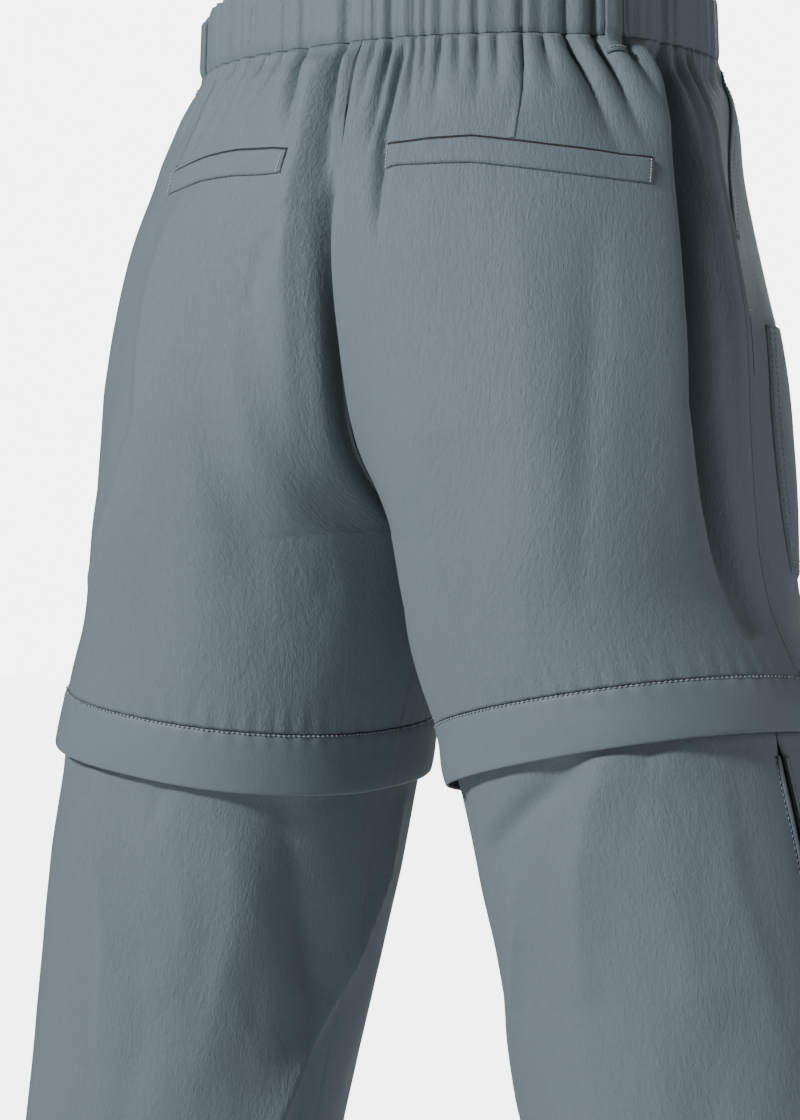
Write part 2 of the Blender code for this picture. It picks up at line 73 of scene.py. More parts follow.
camera_data = bpy.data.cameras.new("camera")
camera = shown("camera", camera_data)
bpy.context.scene.camera = camera
camera_data.sensor_fit = "VERTICAL"
camera_data.sensor_height = SENSOR
camera_data.lens = SENSOR * VIEW_DISTANCE / (PICTURE_ROWS * METRES_A_ROW)
camera_data.shift_x = -SHIFTED_ROWS / PICTURE_ROWS
look = Vector((-math.sin(VIEW_TURN), math.cos(VIEW_TURN), 0.0))
camera.location = -look * VIEW_DISTANCE + Vector((0.0, 0.0, VIEW_HEIGHT))
camera.rotation_euler = look.to_track_quat("-Z", "Y").to_euler()

# Light: a key lamp high on the camera's left, a weak wide one on its right, and one beyond the
# garment for its front.
right_hand = look.cross(Vector((0.0, 0.0, 1.0)))
LAMPS = (
    # name, to the right, back towards the camera, up, size, watts
    ("key", -2.05, 1.50, 1.20, 0.40, 92.0),
    ("fill", 2.40, 0.60, 0.40, 1.60, 15.0),
    ("front", 0.70, -2.10, 0.60, 1.20, 20.0),
)
LIT_POINT = Vector((0.0, 0.0, -0.35))
for lamp_name, aside, back, up, size, watts in LAMPS:
    lamp = bpy.data.lights.new(lamp_name, "AREA")
    lamp.shape = "SQUARE"
    lamp.size = size
    lamp.energy = watts
    holder = shown(lamp_name, lamp)
    holder.location = right_hand * aside - look * back + Vector((0.0, 0.0, up))
    aim = LIT_POINT - holder.location
    holder.rotation_euler = aim.to_track_quat("-Z", "Y").to_euler()

# Room and floor: a plain studio.  To the camera both look pale; their light on the cloth is weak,
# so that the lamps shape the folds.
PALE = (0.97, 0.98, 1.0, 1.0)
PALE_GLOW = 6.0
FLOOR_SHARE = 0.88


class Socket:
    """A shader value that can be reckoned with: an expression on it adds its Math nodes."""

    def __init__(self, tree, link):
        self.tree = tree
        self.link = link

    def node(self, kind, settings=None, **inputs):
        """Adds a node with its settings made first and its sockets filled; spaces are underscores."""
        made = self.tree.nodes.new(kind)
        for key, value in (settings or {}).items():
            setattr(made, key, value)
        for key, value in inputs.items():
            place = int(key[1:]) if key[0] == "_" else key.replace("_", " ")
            if isinstance(value, Socket):
                value.into(made, place)
            else:
                made.inputs[place].default_value = value
        return made

    def out(self, kind, output, settings=None, **inputs):
        return Socket(self.tree, self.node(kind, settings, **inputs).outputs[output])

    def into(self, node, place):
        self.tree.links.new(self.link, node.inputs[place])

    def maths(self, operation, first, second=0.0):
        return self.out("ShaderNodeMath", 0, {"operation": operation}, _0=first, _1=second)

    def __add__(self, other):
        return self.maths("ADD", self, other)

    def __mul__(self, other):
        return self.maths("MULTIPLY", self, other)

    def __sub__(self, other):
        return self.maths("SUBTRACT", self, other)

    def __rsub__(self, other):
        return self.maths("SUBTRACT", other, self)

    __radd__ = __add__
    __rmul__ = __mul__


def pale_to_camera(tree, plain, glow_kind, glow_output, share, last):
    """Lets the camera see a pale glow for a share of this surface, and the plain one elsewhere."""
    start = Socket(tree, None)
    glow = start.out(glow_kind, glow_output, Color=PALE, Strength=PALE_GLOW)
    seen = start.out("ShaderNodeLightPath", "Is Camera Ray")
    start.out("ShaderNodeMixShader", "Shader", _0=seen * share, _1=Socket(tree, plain),
              _2=glow).into(tree.nodes[last], "Surface")


room = bpy.data.worlds.new("room")
bpy.context.scene.world = room
room.use_nodes = True
soft_room = room.node_tree.nodes["Background"]
soft_room.inputs["Color"].default_value = (0.93, 0.95, 0.97, 1.0)
soft_room.inputs["Strength"].default_value = 0.035
pale_to_camera(room.node_tree, soft_room.outputs["Background"], "ShaderNodeBackground", "Background", 1.0,
               "World Output")


def mesh_of(name, shape):
    """The mesh of a finished bmesh."""
    mesh = bpy.data.meshes.new(name)
    shape.to_mesh(mesh)
    shape.free()
    return mesh


def new_material(name):
    """A bare material: its main shader, and a socket to reckon from."""
    material = bpy.data.materials.new(name)
    material.use_nodes = True
    return material, material.node_tree.nodes["Principled BSDF"], Socket(material.node_tree, None)


FLOOR_LEVEL = cad_box[0][2] - 0.004
FLOOR_REACH = 12.0
shape = bmesh.new()
bmesh.ops.create_grid(shape, x_segments=1, y_segments=1, size=FLOOR_REACH,
                      matrix=Matrix.Translation((0.0, 0.0, FLOOR_LEVEL)))
floor = shown("floor", mesh_of("floor", shape))
backdrop, shader, start = new_material("studio_floor")
shader.inputs["Base Color"].default_value = (0.86, 0.87, 0.88, 1.0)
shader.inputs["Roughness"].default_value = 0.9
pale_to_camera(backdrop.node_tree, shader.outputs["BSDF"], "ShaderNodeEmission", "Emission", FLOOR_SHARE,
               "Material Output")
floor.data.materials.append(backdrop)

# Shell cloth: a light nylon weave washed to a fine crinkle, with slubs down the leg and a low sheen.
# Its map is in metres: across the cloth from the side seam, and down from the waist seam.


def shell_cloth(name, colour, crinkle=1.0, roughness=0.62):
    material, shader, start = new_material(name)
    place = start.out("ShaderNodeUVMap", "UV", {"uv_map": "cloth"})

    def scaled(across, down):
        return start.out("ShaderNodeMapping", "Vector", Vector=place, Scale=(across, down, 1.0))

    slub = start.out("ShaderNodeTexNoise", "Fac", Vector=scaled(430.0, 105.0), Scale=1.0, Detail=3.0,
                     Roughness=0.6, Distortion=0.4)
    crepe = start.out("ShaderNodeTexNoise", "Fac", Vector=scaled(430.0, 200.0), Scale=1.0, Detail=4.0,
                      Roughness=0.65, Distortion=1.0)
    grain = start.out("ShaderNodeTexNoise", "Fac", Vector=scaled(1500.0, 900.0), Scale=1.0, Detail=2.0)
    cloud = start.out("ShaderNodeTexNoise", "Fac", Vector=scaled(9.0, 5.0), Scale=1.0, Detail=3.0)
    height = slub * 0.42 + crepe * 0.58 + grain * 0.18
    bump = start.out("ShaderNodeBump", "Normal", Strength=crinkle, Distance=0.0011, Height=height)
    bump.into(shader, "Normal")
    shade = (slub - 0.5) * 0.16 + (crepe - 0.5) * 0.12 + (grain - 0.5) * 0.10 + (cloud - 0.5) * 0.10
    tone = start.out("ShaderNodeMix", "Result", {"data_type": "RGBA", "clamp_factor": True},
                     Factor=shade + 0.5,
                     _6=(*[c * 0.72 for c in colour], 1.0), _7=(*[c * 1.28 for c in colour], 1.0))
    tone.into(shader, "Base Color")
    rough = (crepe - 0.5) * 0.12 + roughness
    rough.into(shader, "Roughness")
    shader.inputs["Specular IOR Level"].default_value = 0.38
    shader.inputs["Sheen Weight"].default_value = 0.12
    shader.inputs["Sheen Roughness"].default_value = 0.5
    return material


SHELL_COLOUR = (0.154, 0.203, 0.229)
shell = shell_cloth("crinkled_nylon", SHELL_COLOUR)
band_cloth = shell_cloth("waist_nylon", tuple(c * 0.96 for c in SHELL_COLOUR), 0.8)

# Back panels: the seat and the back of each thigh, one piece of the nylon a side, seamed to its
# twin at the middle and to the front at the side, and gathered into the waist by the elastic.
WAIST_SEAM = -0.020
SEAM_GAP = 0.0003
FORK = 0.285
KNEE = 0.393
HEM = 0.978
SQUARENESS = 2.2
INNER_CROWDING = 6
RING_STEPS = 240
FREE_WIDTH = 0.09
FREE_DROP = 0.10
# The worn form, as rings round each leg cut by the middle plane above the fork.  Places on it are a
# drop below the waist seam and u, from 0 at the inner front by 0.5 at the side to 1 at the inner back.
# drop, outer side, inner side, middle in depth, reach to the front, reach to the back
FORM = np.array([
    (0.000, 0.160, -0.160, 0.000, 0.128, 0.129),
    (0.030, 0.178, -0.174, 0.002, 0.135, 0.136),
    (0.075, 0.192, -0.165, 0.006, 0.139, 0.138),
    (0.120, 0.204, -0.134, 0.011, 0.141, 0.137),
    (0.175, 0.215, -0.084, 0.015, 0.140, 0.134),
    (0.230, 0.222, -0.038, 0.018, 0.137, 0.132),
    (0.285, 0.229, 0.0002, 0.020, 0.131, 0.130),
    (0.340, 0.237, 0.012, 0.022, 0.123, 0.124),
    (0.400, 0.255, 0.030, 0.024, 0.118, 0.117),
    (0.450, 0.264, 0.042, 0.026, 0.113, 0.109),
    (0.550, 0.283, 0.068, 0.028, 0.104, 0.101),
    (0.700, 0.304, 0.103, 0.030, 0.098, 0.095),
    (0.850, 0.327, 0.133, 0.030, 0.093, 0.091),
    (0.990, 0.346, 0.161, 0.030, 0.087, 0.087),
])
# drop, length of half a ring
USUAL_LENGTH = np.array([
    (0.000, 0.235), (0.030, 0.254), (0.075, 0.267), (0.120, 0.279), (0.175, 0.291),
    (0.230, 0.304), (0.285, 0.327), (0.340, 0.352), (0.400, 0.366), (0.450, 0.355),
    (0.700, 0.315), (0.990, 0.288),
])
# drop, shift out, shift back, rise, tip outwards, tip backwards (degrees)
CARRIAGE = {
    1: np.array([
        (0.000, 0.002, 0.000, 0.000, 0.0, 0.0),
        (0.120, 0.009, 0.005, 0.003, 0.0, 0.0),
        (0.285, 0.001, 0.003, 0.001, 4.8, -2.0),
        (0.450, -0.003, 0.000, 0.004, 8.6, -4.0),
        (0.700, 0.000, -0.009, 0.002, 8.0, 0.0),
        (0.990, 0.000, -0.002, 0.000, 7.0, 4.0)]),
    -1: np.array([
        (0.000, 0.004, 0.000, 0.000, 0.0, 0.0),
        (0.120, -0.003, 0.001, 0.000, 0.0, 0.0),
        (0.285, -0.006, 0.004, -0.005, 5.9, 2.0),
        (0.450, -0.002, -0.005, 0.008, 11.0, 4.8),
        (0.700, 0.005, -0.001, 0.000, 8.0, 3.0),
        (0.990, 0.000, 0.000, 0.000, 7.0, 0.0)]),
}


def soft_step(x, low, high):
    t = np.clip((np.asarray(x, float) - low) / (high - low), 0.0, 1.0)
    return t * t * (3.0 - 2.0 * t)


def between(table, drop):
    """A row of a table at any drop, on a curve that never overshoots its rows."""
    x, y = table[:, 0], table[:, 1:]
    step = np.diff(x)[:, None]
    rise = np.diff(y, axis=0) / step
    both = rise[:-1] * rise[1:]
    turning = both <= 0
    total = np.where(turning, 1.0, rise[:-1] + rise[1:])
    slope = np.zeros_like(y)
    slope[1:-1] = np.where(turning, 0.0, 2 * both / total)
    slope[0], slope[-1] = rise[0], rise[-1]
    i = int(np.clip(np.searchsorted(x, drop) - 1, 0, len(x) - 2))
    h = step[i]
    t = (drop - x[i]) / step[i, 0]
    return ((1 + 2 * t) * (1 - t) ** 2 * y[i] + t * (1 - t) ** 2 * h * slope[i]
            + t * t * (3 - 2 * t) * y[i + 1] + t * t * (t - 1) * h * slope[i + 1])


def metres_round(drop):
    """Usual length of cloth round one whole ring."""
    return 2 * between(USUAL_LENGTH, drop)[0]


def leg_form(side, angle, drop):
    """Points of a ring: angle 0 is the inner side, half a turn the outer side, front first."""
    outer, inner, middle, front, back = between(FORM, drop)
    out, rear, rise, tip_out, tip_back = between(CARRIAGE[side], drop)
    centre = (outer + inner) / 2
    half = (outer - inner) / 2
    power = 2 / SQUARENESS
    c, s = np.cos(angle), np.sin(angle)
    across = -half * np.sign(c) * np.abs(c) ** power
    along = -np.where(s > 0, front, back) * np.sign(s) * np.abs(s) ** power
    free = np.maximum(soft_step(centre + across, 0.0, FREE_WIDTH),
                      soft_step(drop, FORK, FORK + FREE_DROP))
    lean = np.radians(tip_out) * free
    tilt = np.radians(tip_back) * free
    x = centre + across * np.cos(lean) + free * out
    y = middle + along * np.cos(tilt) + free * rear
    z = WAIST_SEAM - drop + across * np.sin(lean) + along * np.sin(tilt) + free * rise
    return np.stack([side * x, y, z], axis=-1)


def ring(side, drop, u):
    """Points of a ring, the ways straight out of the cloth there, and metres from the side seam."""
    outer, inner = between(FORM, drop)[:2]
    reach = ((outer + inner) / 2 - SEAM_GAP / 2) / ((outer - inner) / 2)
    start = math.acos(min(max(reach, 0.0), 1.0) ** (SQUARENESS / 2))
    usual = metres_round(drop) / 2
    angle = np.empty(len(u))
    metres = np.empty(len(u))
    for last, here, sign in ((start, u <= 0.5, -1), (2 * math.pi - start, u >= 0.5, 1)):
        turn = np.linspace(math.pi, last, RING_STEPS + 1)
        points = leg_form(side, turn, drop)
        length = np.r_[0.0, np.cumsum(np.linalg.norm(np.diff(points, axis=0), axis=1))]
        share = np.abs(u[here] - 0.5) * 2
        place = usual * share + (length[-1] - usual) * share ** INNER_CROWDING
        angle[here] = np.interp(place, length, turn)
        metres[here] = sign * place
    points = leg_form(side, angle, drop)
    around = leg_form(side, angle + 1e-3, drop) - leg_form(side, angle - 1e-3, drop)
    down = leg_form(side, angle, drop + 5e-4) - leg_form(side, angle, max(drop - 5e-4, 0.0))
    out = np.cross(down, around) * side
    out /= np.linalg.norm(out, axis=1, keepdims=True)
    out[:, 2] *= soft_step(drop, 0.0, 0.012)
    out /= np.linalg.norm(out, axis=1, keepdims=True)
    return points, out, metres


# Creases that the elastic draws below the waist, for each leg: u at the seam, how far u leans over
# the crease's length, depth, half width, length down the cloth.
GATHERS = {
    1: (
        (0.975, 0.006, 0.0076, 0.0026, 0.090), (0.922, 0.026, 0.0084, 0.0028, 0.078),
        (0.896, -0.012, 0.0044, 0.0038, 0.064), (0.872, -0.008, 0.0039, 0.0034, 0.046),
        (0.842, -0.012, 0.0046, 0.0040, 0.069), (0.812, -0.010, 0.0041, 0.0036, 0.051),
        (0.784, -0.014, 0.0046, 0.0040, 0.074), (0.752, -0.010, 0.0039, 0.0036, 0.051),
        (0.722, -0.006, 0.0044, 0.0036, 0.060), (0.690, -0.020, 0.0052, 0.0044, 0.087),
        (0.656, -0.016, 0.0044, 0.0040, 0.057), (0.620, -0.012, 0.0046, 0.0040, 0.081),
        (0.586, -0.010, 0.0044, 0.0040, 0.064), (0.552, -0.006, 0.0046, 0.0038, 0.081),
        (0.520, -0.002, 0.0028, 0.0034, 0.046), (0.488, 0.000, 0.0030, 0.0036, 0.046),
        (0.464, 0.006, 0.0026, 0.0034, 0.038), (0.440, 0.010, 0.0022, 0.0034, 0.026),
        (0.398, 0.006, 0.0016, 0.0034, 0.024), (0.346, 0.004, 0.0014, 0.0036, 0.020),
        (0.290, 0.004, 0.0012, 0.0036, 0.020), (0.150, 0.002, 0.0010, 0.0036, 0.018),
    ),
    -1: (
        (0.980, 0.004, 0.0030, 0.0028, 0.050), (0.953, 0.010, 0.0060, 0.0034, 0.078),
        (0.904, -0.006, 0.0034, 0.0032, 0.060), (0.886, -0.004, 0.0032, 0.0032, 0.046),
        (0.862, 0.004, 0.0042, 0.0034, 0.056), (0.838, -0.002, 0.0034, 0.0030, 0.038),
        (0.812, 0.002, 0.0044, 0.0036, 0.050), (0.788, 0.004, 0.0034, 0.0032, 0.044),
        (0.757, 0.010, 0.0034, 0.0020, 0.055), (0.732, -0.004, 0.0036, 0.0034, 0.040),
        (0.704, -0.055, 0.0066, 0.0044, 0.084), (0.666, -0.046, 0.0064, 0.0042, 0.078),
        (0.630, -0.034, 0.0044, 0.0038, 0.052), (0.560, -0.012, 0.0052, 0.0040, 0.120),
        (0.536, -0.008, 0.0046, 0.0036, 0.080), (0.512, -0.004, 0.0034, 0.0034, 0.052),
        (0.486, 0.000, 0.0030, 0.0036, 0.050), (0.462, 0.006, 0.0026, 0.0034, 0.036),
        (0.438, 0.010, 0.0022, 0.0034, 0.028), (0.400, 0.006, 0.0016, 0.0034, 0.022),
        (0.352, 0.004, 0.0014, 0.0036, 0.020), (0.300, 0.004, 0.0012, 0.0036, 0.018),
        (0.180, 0.002, 0.0010, 0.0036, 0.018),
    ),
}
# Large folds of each leg: height (below zero a trough), half width on the side of a lower u and of
# a higher u, how squarely it drops, then its line as drop and u.
HIP_TRENCH = ((-0.080, 0.583), (0.060, 0.580), (0.100, 0.584), (0.160, 0.590), (0.220, 0.588),
              (0.280, 0.572), (0.370, 0.545))
FOLDS = {
    1: (
        (0.0064, 0.0120, 0.0075, 1.8, ((-0.050, 0.948), (0.020, 0.951), (0.080, 0.955), (0.160, 0.957),
                                       (0.240, 0.950))),
        (0.0052, 0.0036, 0.0050, 1.8, ((-0.050, 0.987), (0.040, 0.988), (0.095, 0.990))),
        (-0.0160, 0.0068, 0.0044, 1.6, ((0.046, 0.985), (0.080, 0.990), (0.125, 0.996), (0.180, 0.998),
                                        (0.300, 0.998))),
        (-0.0060, 0.0480, 0.0080, 1.9, ((-0.040, 0.765), (0.030, 0.760), (0.070, 0.748), (0.150, 0.750),
                                        (0.240, 0.770))),
        (-0.0040, 0.0040, 0.0050, 1.5, ((-0.040, 0.842), (0.015, 0.822), (0.040, 0.808), (0.066, 0.792))),
        (0.0100, 0.0130, 0.0420, 1.25, ((0.080, 0.815), (0.147, 0.798), (0.217, 0.796), (0.265, 0.755),
                                        (0.315, 0.695), (0.385, 0.672))),
        (-0.0050, 0.0260, 0.0260, 2.0, ((0.100, 0.700), (0.200, 0.690), (0.280, 0.640), (0.370, 0.600))),
        (-0.0060, 0.0120, 0.0110, 1.8, ((0.010, 0.560), (0.090, 0.566), (0.210, 0.556))),
        (-0.0025, 0.0140, 0.0180, 2.0, ((0.180, 0.870), (0.270, 0.880), (0.350, 0.850))),
        (0.0022, 0.0120, 0.0120, 2.0, ((0.130, 0.905), (0.210, 0.912), (0.300, 0.930))),
        (-0.0024, 0.0050, 0.0060, 1.6, ((0.095, 0.955), (0.125, 0.935), (0.160, 0.925))),
        (-0.0060, 0.0200, 0.0200, 2.0, ((0.060, 0.080), (0.200, 0.120), (0.350, 0.150))),
        (0.0040, 0.0180, 0.0180, 2.0, ((0.230, 0.050), (0.300, 0.075), (0.360, 0.100))),
        (0.0022, 0.0160, 0.0120, 2.0, ((0.070, 0.260), (0.190, 0.235), (0.340, 0.210))),
        (-0.0018, 0.0090, 0.0120, 2.0, ((0.050, 0.170), (0.130, 0.200), (0.230, 0.230))),
    ),
    -1: (
        (-0.0270, 0.0135, 0.0050, 2.2, HIP_TRENCH),
        (-0.0050, 0.0300, 0.0060, 2.0, ((-0.060, 0.583), (0.100, 0.584), (0.220, 0.588), (0.370, 0.545))),
        (-0.0100, 0.0450, 0.0350, 2.0, ((-0.030, 0.450), (0.060, 0.430), (0.160, 0.440))),
        (0.0052, 0.0050, 0.0300, 2.0, ((0.000, 0.604), (0.120, 0.606), (0.220, 0.608), (0.330, 0.586))),
        (0.0036, 0.0130, 0.0080, 2.0, ((0.030, 0.530), (0.140, 0.518), (0.300, 0.512))),
        (-0.0022, 0.0100, 0.0100, 2.0, ((0.110, 0.690), (0.230, 0.700), (0.350, 0.690))),
        (0.0016, 0.0200, 0.0200, 2.0, ((0.090, 0.770), (0.230, 0.750), (0.370, 0.730))),
        (-0.0030, 0.0300, 0.0220, 2.0, ((0.230, 0.840), (0.300, 0.800), (0.375, 0.780))),
        (0.0020, 0.0100, 0.0140, 2.0, ((0.250, 0.900), (0.320, 0.880), (0.385, 0.860))),
        (-0.0095, 0.0040, 0.0048, 1.4, ((-0.020, 0.914), (0.020, 0.928), (0.055, 0.943), (0.078, 0.935),
                                        (0.122, 0.930))),
        (-0.0060, 0.0200, 0.0200, 2.0, ((0.050, 0.070), (0.190, 0.110), (0.330, 0.160))),
        (0.0040, 0.0180, 0.0180, 2.0, ((0.240, 0.040), (0.300, 0.065), (0.370, 0.090))),
        (0.0022, 0.0160, 0.0120, 2.0, ((0.080, 0.250), (0.180, 0.230), (0.330, 0.200))),
        (-0.0018, 0.0090, 0.0120, 2.0, ((0.040, 0.180), (0.120, 0.190), (0.210, 0.240))),
    ),
}
METRES_A_U = 0.50
GATHER_DEPTH = 1.60
BAND_HEIGHT = 0.040


def swell(across, down, seed):
    """Smooth uneven ground, about -1 to 1, with one hill or hollow to each unit across and down."""
    i, j = np.floor(across).astype(int), int(math.floor(down))
    a, b = across - i, down - j
    a, b = a * a * (3 - 2 * a), b * b * (3 - 2 * b)

    def post(x, y):
        turn = np.sin(x * 127.1 + y * 311.7 + seed * 74.7) * 43758.5453
        return 2.0 * (turn - np.floor(turn)) - 1.0

    return ((post(i, j) * (1 - a) + post(i + 1, j) * a) * (1 - b)
            + (post(i, j + 1) * (1 - a) + post(i + 1, j + 1) * a) * b)


def ripple(across, down, seed):
    """Slow unevenness of cloth that hangs free: broad hollows, and smaller dents longer than wide."""
    return (0.9 * swell(across / 0.055, down / 0.110, seed)
            + 0.42 * swell(across / 0.024 + down * 6.0, down / 0.052, seed + 3.0)
            + 0.20 * swell(across / 0.0105 - down * 9.0, down / 0.026, seed + 5.0))


def fold_height(drop, u, metres, folds):
    """Height of soft ridges and troughs at places u of one ring; each fades in and out."""
    height = np.zeros(len(u))
    apart = np.abs(u - 0.5)
    per_u = np.where(apart < 0.01, metres_round(max(drop, 0.0)),
                     np.abs(metres) / np.maximum(apart, 1e-6))
    for tall, low_side, high_side, squarely, line in folds:
        drops, places = zip(*line)
        if not drops[0] < drop < drops[-1]:
            continue
        t = (drop - drops[0]) / (drops[-1] - drops[0])
        run = math.sin(math.pi * t ** 0.8) ** 0.8
        far = u - np.interp(drop, drops, places)
        if drop > KNEE:
            far = (far + 0.5) % 1.0 - 0.5
        far = far * per_u
        width = np.where(far < 0, low_side, high_side)
        height += tall * run * np.exp(-np.abs(far / width) ** squarely)
    return height


def gather_height(side, drop, u):
    """Depth of the waist creases: narrow valleys between soft rolls, fading down the cloth."""
    height = np.zeros(len(u))
    down = max(drop, 0.0)
    for at, lean, deep, half, length in GATHERS[side]:
        if down > length:
            continue
        t = down / length
        far = (u - at - lean * t) * METRES_A_U
        width = half * (0.8 + 1.7 * t)
        fade = (1.0 - t * t) ** 1.5 * (0.60 + 0.40 * soft_step(down, 0.0, 0.010))
        height -= GATHER_DEPTH * deep * fade * np.exp(-np.abs(far / width) ** 1.2)
    return height


PUCKER_PITCH = 0.0125
KNEE_PUCKER = 0.00050
UPPER_RIPPLE = 0.0009


def pucker(side, metres):
    """The small waves that a row of stitches draws up, at an uneven pitch."""
    return np.sin(metres * 2 * math.pi / PUCKER_PITCH + 1.5 * np.sin(metres * 41.0 + side))


def inner_fade(u):
    """Nothing at the inner seam, where two panels have to meet, and one a little way from it."""
    return soft_step(np.minimum(u, 1.0 - u), 0.0, 0.07)


def upper_height(side, drop, u, metres):
    """All the relief of an upper panel, or of the band above it, over the plain form."""
    to_knee = soft_step(KNEE - drop, 0.0, 0.045)
    puff = 0.0012 + 0.0022 * soft_step(drop, 0.0, 0.016)
    height = gather_height(side, drop, u) + puff * (1 - soft_step(drop, 0.025, 0.085))
    below_band = soft_step(drop, -0.001, 0.014)
    height += fold_height(drop, u, metres, FOLDS[side]) * to_knee * below_band
    loose = inner_fade(u) * to_knee * soft_step(drop, 0.02, 0.08)
    height += UPPER_RIPPLE * ripple(metres, drop, 1.0 + side) * loose
    uneven = 0.55 + 0.45 * swell(metres / 0.06, 3.5, 9.0 + side)
    at_knee = 1 - soft_step(KNEE - drop, 0.002, 0.026)
    return height + KNEE_PUCKER * pucker(side, metres) * uneven * at_knee


def overhang(side, drop, u):
    """How far round the ring, in u, the lip of the deep fold on the right hip leans over its trough."""
    if side > 0 or not 0.0 < drop < 0.34:
        return 0.0
    per_u = metres_round(drop)
    far = (u - np.interp(drop, *zip(*HIP_TRENCH))) * per_u
    lean = 0.0030 * (soft_step(drop, 0.0, 0.03) * (1 - soft_step(drop, 0.22, 0.33)))
    return lean * np.exp(-((far - 0.0065) / 0.0075) ** 2) / per_u


def cloth(side, drop, u, relief, lift=0.0):
    """Points of the cloth's outer face, the ways out, and metres across from the side seam.

    A drop below zero is a height up the waistband, which leans in a little towards its top.
    """
    points, out, metres = ring(side, max(drop, 0.0), u - overhang(side, drop, u))
    height = relief(side, drop, u, metres) + lift
    if drop < 0:
        height = height + 0.0015 * drop / BAND_HEIGHT
        points[:, 2] -= drop
    points = points + out * height[:, None]
    points[:, 0] = side * np.maximum(side * points[:, 0], SEAM_GAP / 2)
    return pulled_aside(points, drop), out, metres


SEAT_SEAM_SHIFT = 0.0180


def pulled_aside(points, drop):
    """The seat seam runs a little to the right of the middle, as it does in the photo."""
    near = np.exp(-(points[:, 0] / 0.045) ** 2) * soft_step(points[:, 1], 0.0, 0.06)
    near = near * ((1 - 0.62 * soft_step(drop, 0.01, 0.12)) * (1 - soft_step(drop, 0.17, 0.285)))
    points[:, 0] -= SEAT_SEAM_SHIFT * near
    return points


def lay_grid(name, columns, rows, placed, wall, material, node):
    """A sheet laid as a grid: placed(row) gives that row's points, ways out and its map in metres."""
    shape = bmesh.new()
    bmesh.ops.create_grid(shape, x_segments=columns, y_segments=rows, size=0.5)
    mesh = mesh_of(name, shape)
    flat = np.empty(len(mesh.vertices) * 3)
    mesh.vertices.foreach_get("co", flat)
    flat = flat.reshape(-1, 3)
    column = np.rint((flat[:, 0] + 0.5) * columns).astype(int)
    row = np.rint((flat[:, 1] + 0.5) * rows).astype(int)
    points = np.empty((rows + 1, columns + 1, 3))
    out = np.empty((rows + 1, columns + 1, 3))
    maps = np.empty((rows + 1, columns + 1, 2))
    for r in range(rows + 1):
        points[r], out[r], maps[r, :, 0], maps[r, :, 1] = placed(r)
    mesh.vertices.foreach_set("co", points[row, column].ravel())
    corner = np.empty(len(mesh.loops), dtype=np.int32)
    mesh.loops.foreach_get("vertex_index", corner)
    layer = mesh.uv_layers.new(name="cloth")
    layer.data.foreach_set("uv", maps[row[corner], column[corner]].ravel())
    across = points[:-1, 1:] - points[:-1, :-1]
    down = points[1:, :-1] - points[:-1, :-1]
    if np.sum(np.cross(across, down) * out[:-1, :-1]) < 0:
        mesh.flip_normals()
    mesh.shade_smooth()
    mesh.materials.append(material)
    mesh.update()
    piece = shown(name, mesh)
    if wall:
        thick = piece.modifiers.new("wall", "SOLIDIFY")
        thick.thickness = wall
        thick.offset = -1.0
    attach(piece, "root")
    return piece


CLOTH_ROUND = 0.62
SEAM_STEPS = np.array([0.0, 0.0007, 0.0014, 0.0024])
SEAM_ZONE = 0.0042
INNER_GROOVE = 0.0003
SIDE_GROOVE = 0.0008
SHELL_WALL = 0.0011


def panel(name, side, u_low, u_high, spacing, drops, relief, node, ends=None, lift=None):
    """A panel between two places u of its leg, finer towards its two seams."""
    widest = max(metres_round(d) for d in drops) * (u_high - u_low)
    near_seam = SEAM_STEPS / widest
    inner = np.linspace(SEAM_ZONE / widest, 1.0 - SEAM_ZONE / widest, int(widest / spacing))
    share = np.r_[near_seam, inner, 1.0 - near_seam[::-1]]

    def placed(r):
        drop = drops[r]
        trim_low, trim_high = ends(drop) if ends else (SEAM_GAP / 2, SEAM_GAP / 2)
        usual = metres_round(drop)
        low = u_low + (trim_low / usual if u_low > 0.0 else 0.0)
        high = u_high - (trim_high / usual if u_high < 1.0 else 0.0)
        u = low + (high - low) * share
        deep = np.where((share < 0.5) == (u_low == 0.0), INNER_GROOVE, SIDE_GROOVE)
        near = np.minimum(share, 1.0 - share) * widest
        points, out, metres = cloth(side, drop, u, relief, lift(drop) if lift else 0.0)
        points = points - out * (deep * np.exp(-(near / 0.0015) ** 2))[:, None]
        return points, out, (u - 0.5) * CLOTH_ROUND, drop

    piece = lay_grid(name, len(share) - 1, len(drops) - 1, placed, SHELL_WALL, shell, node)
    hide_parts(node)
    return piece


coarser = 1
BACK_SPACING = 0.0021 * coarser
SIDES = (("left", 1), ("right", -1))
for label, side in SIDES:
    drops = np.linspace(SEAM_GAP / 2, KNEE - SEAM_GAP / 2, int(KNEE / BACK_SPACING))
    back = panel(f"seat_and_back_{label}", side, 0.5, 1.0, BACK_SPACING, drops, upper_height,
                 f"back_{label}")

# Front panels: the same nylon, plain at the middle where the fly laps, with softer gathers by the
# side seams.  They are seamed to the backs at the side and the inner leg, and to the waistband.
FRONT_SPACING = 0.0030 * coarser
for label, side in SIDES:
    drops = np.linspace(SEAM_GAP / 2, KNEE - SEAM_GAP / 2, int(KNEE / FRONT_SPACING))
    front = panel(f"front_panel_{label}", side, 0.0, 0.5, FRONT_SPACING, drops, upper_height,
                  f"front_{label}")

# Waistband: a strip of the same nylon closed round wide elastic, so it is ruched all the way
# round.  It butts at the lap, on the right of the front's middle, and stands on the waist seam.
LAP_END = 0.015
FRONT_HALF = 0.235
BAND_TUCK = -0.0034


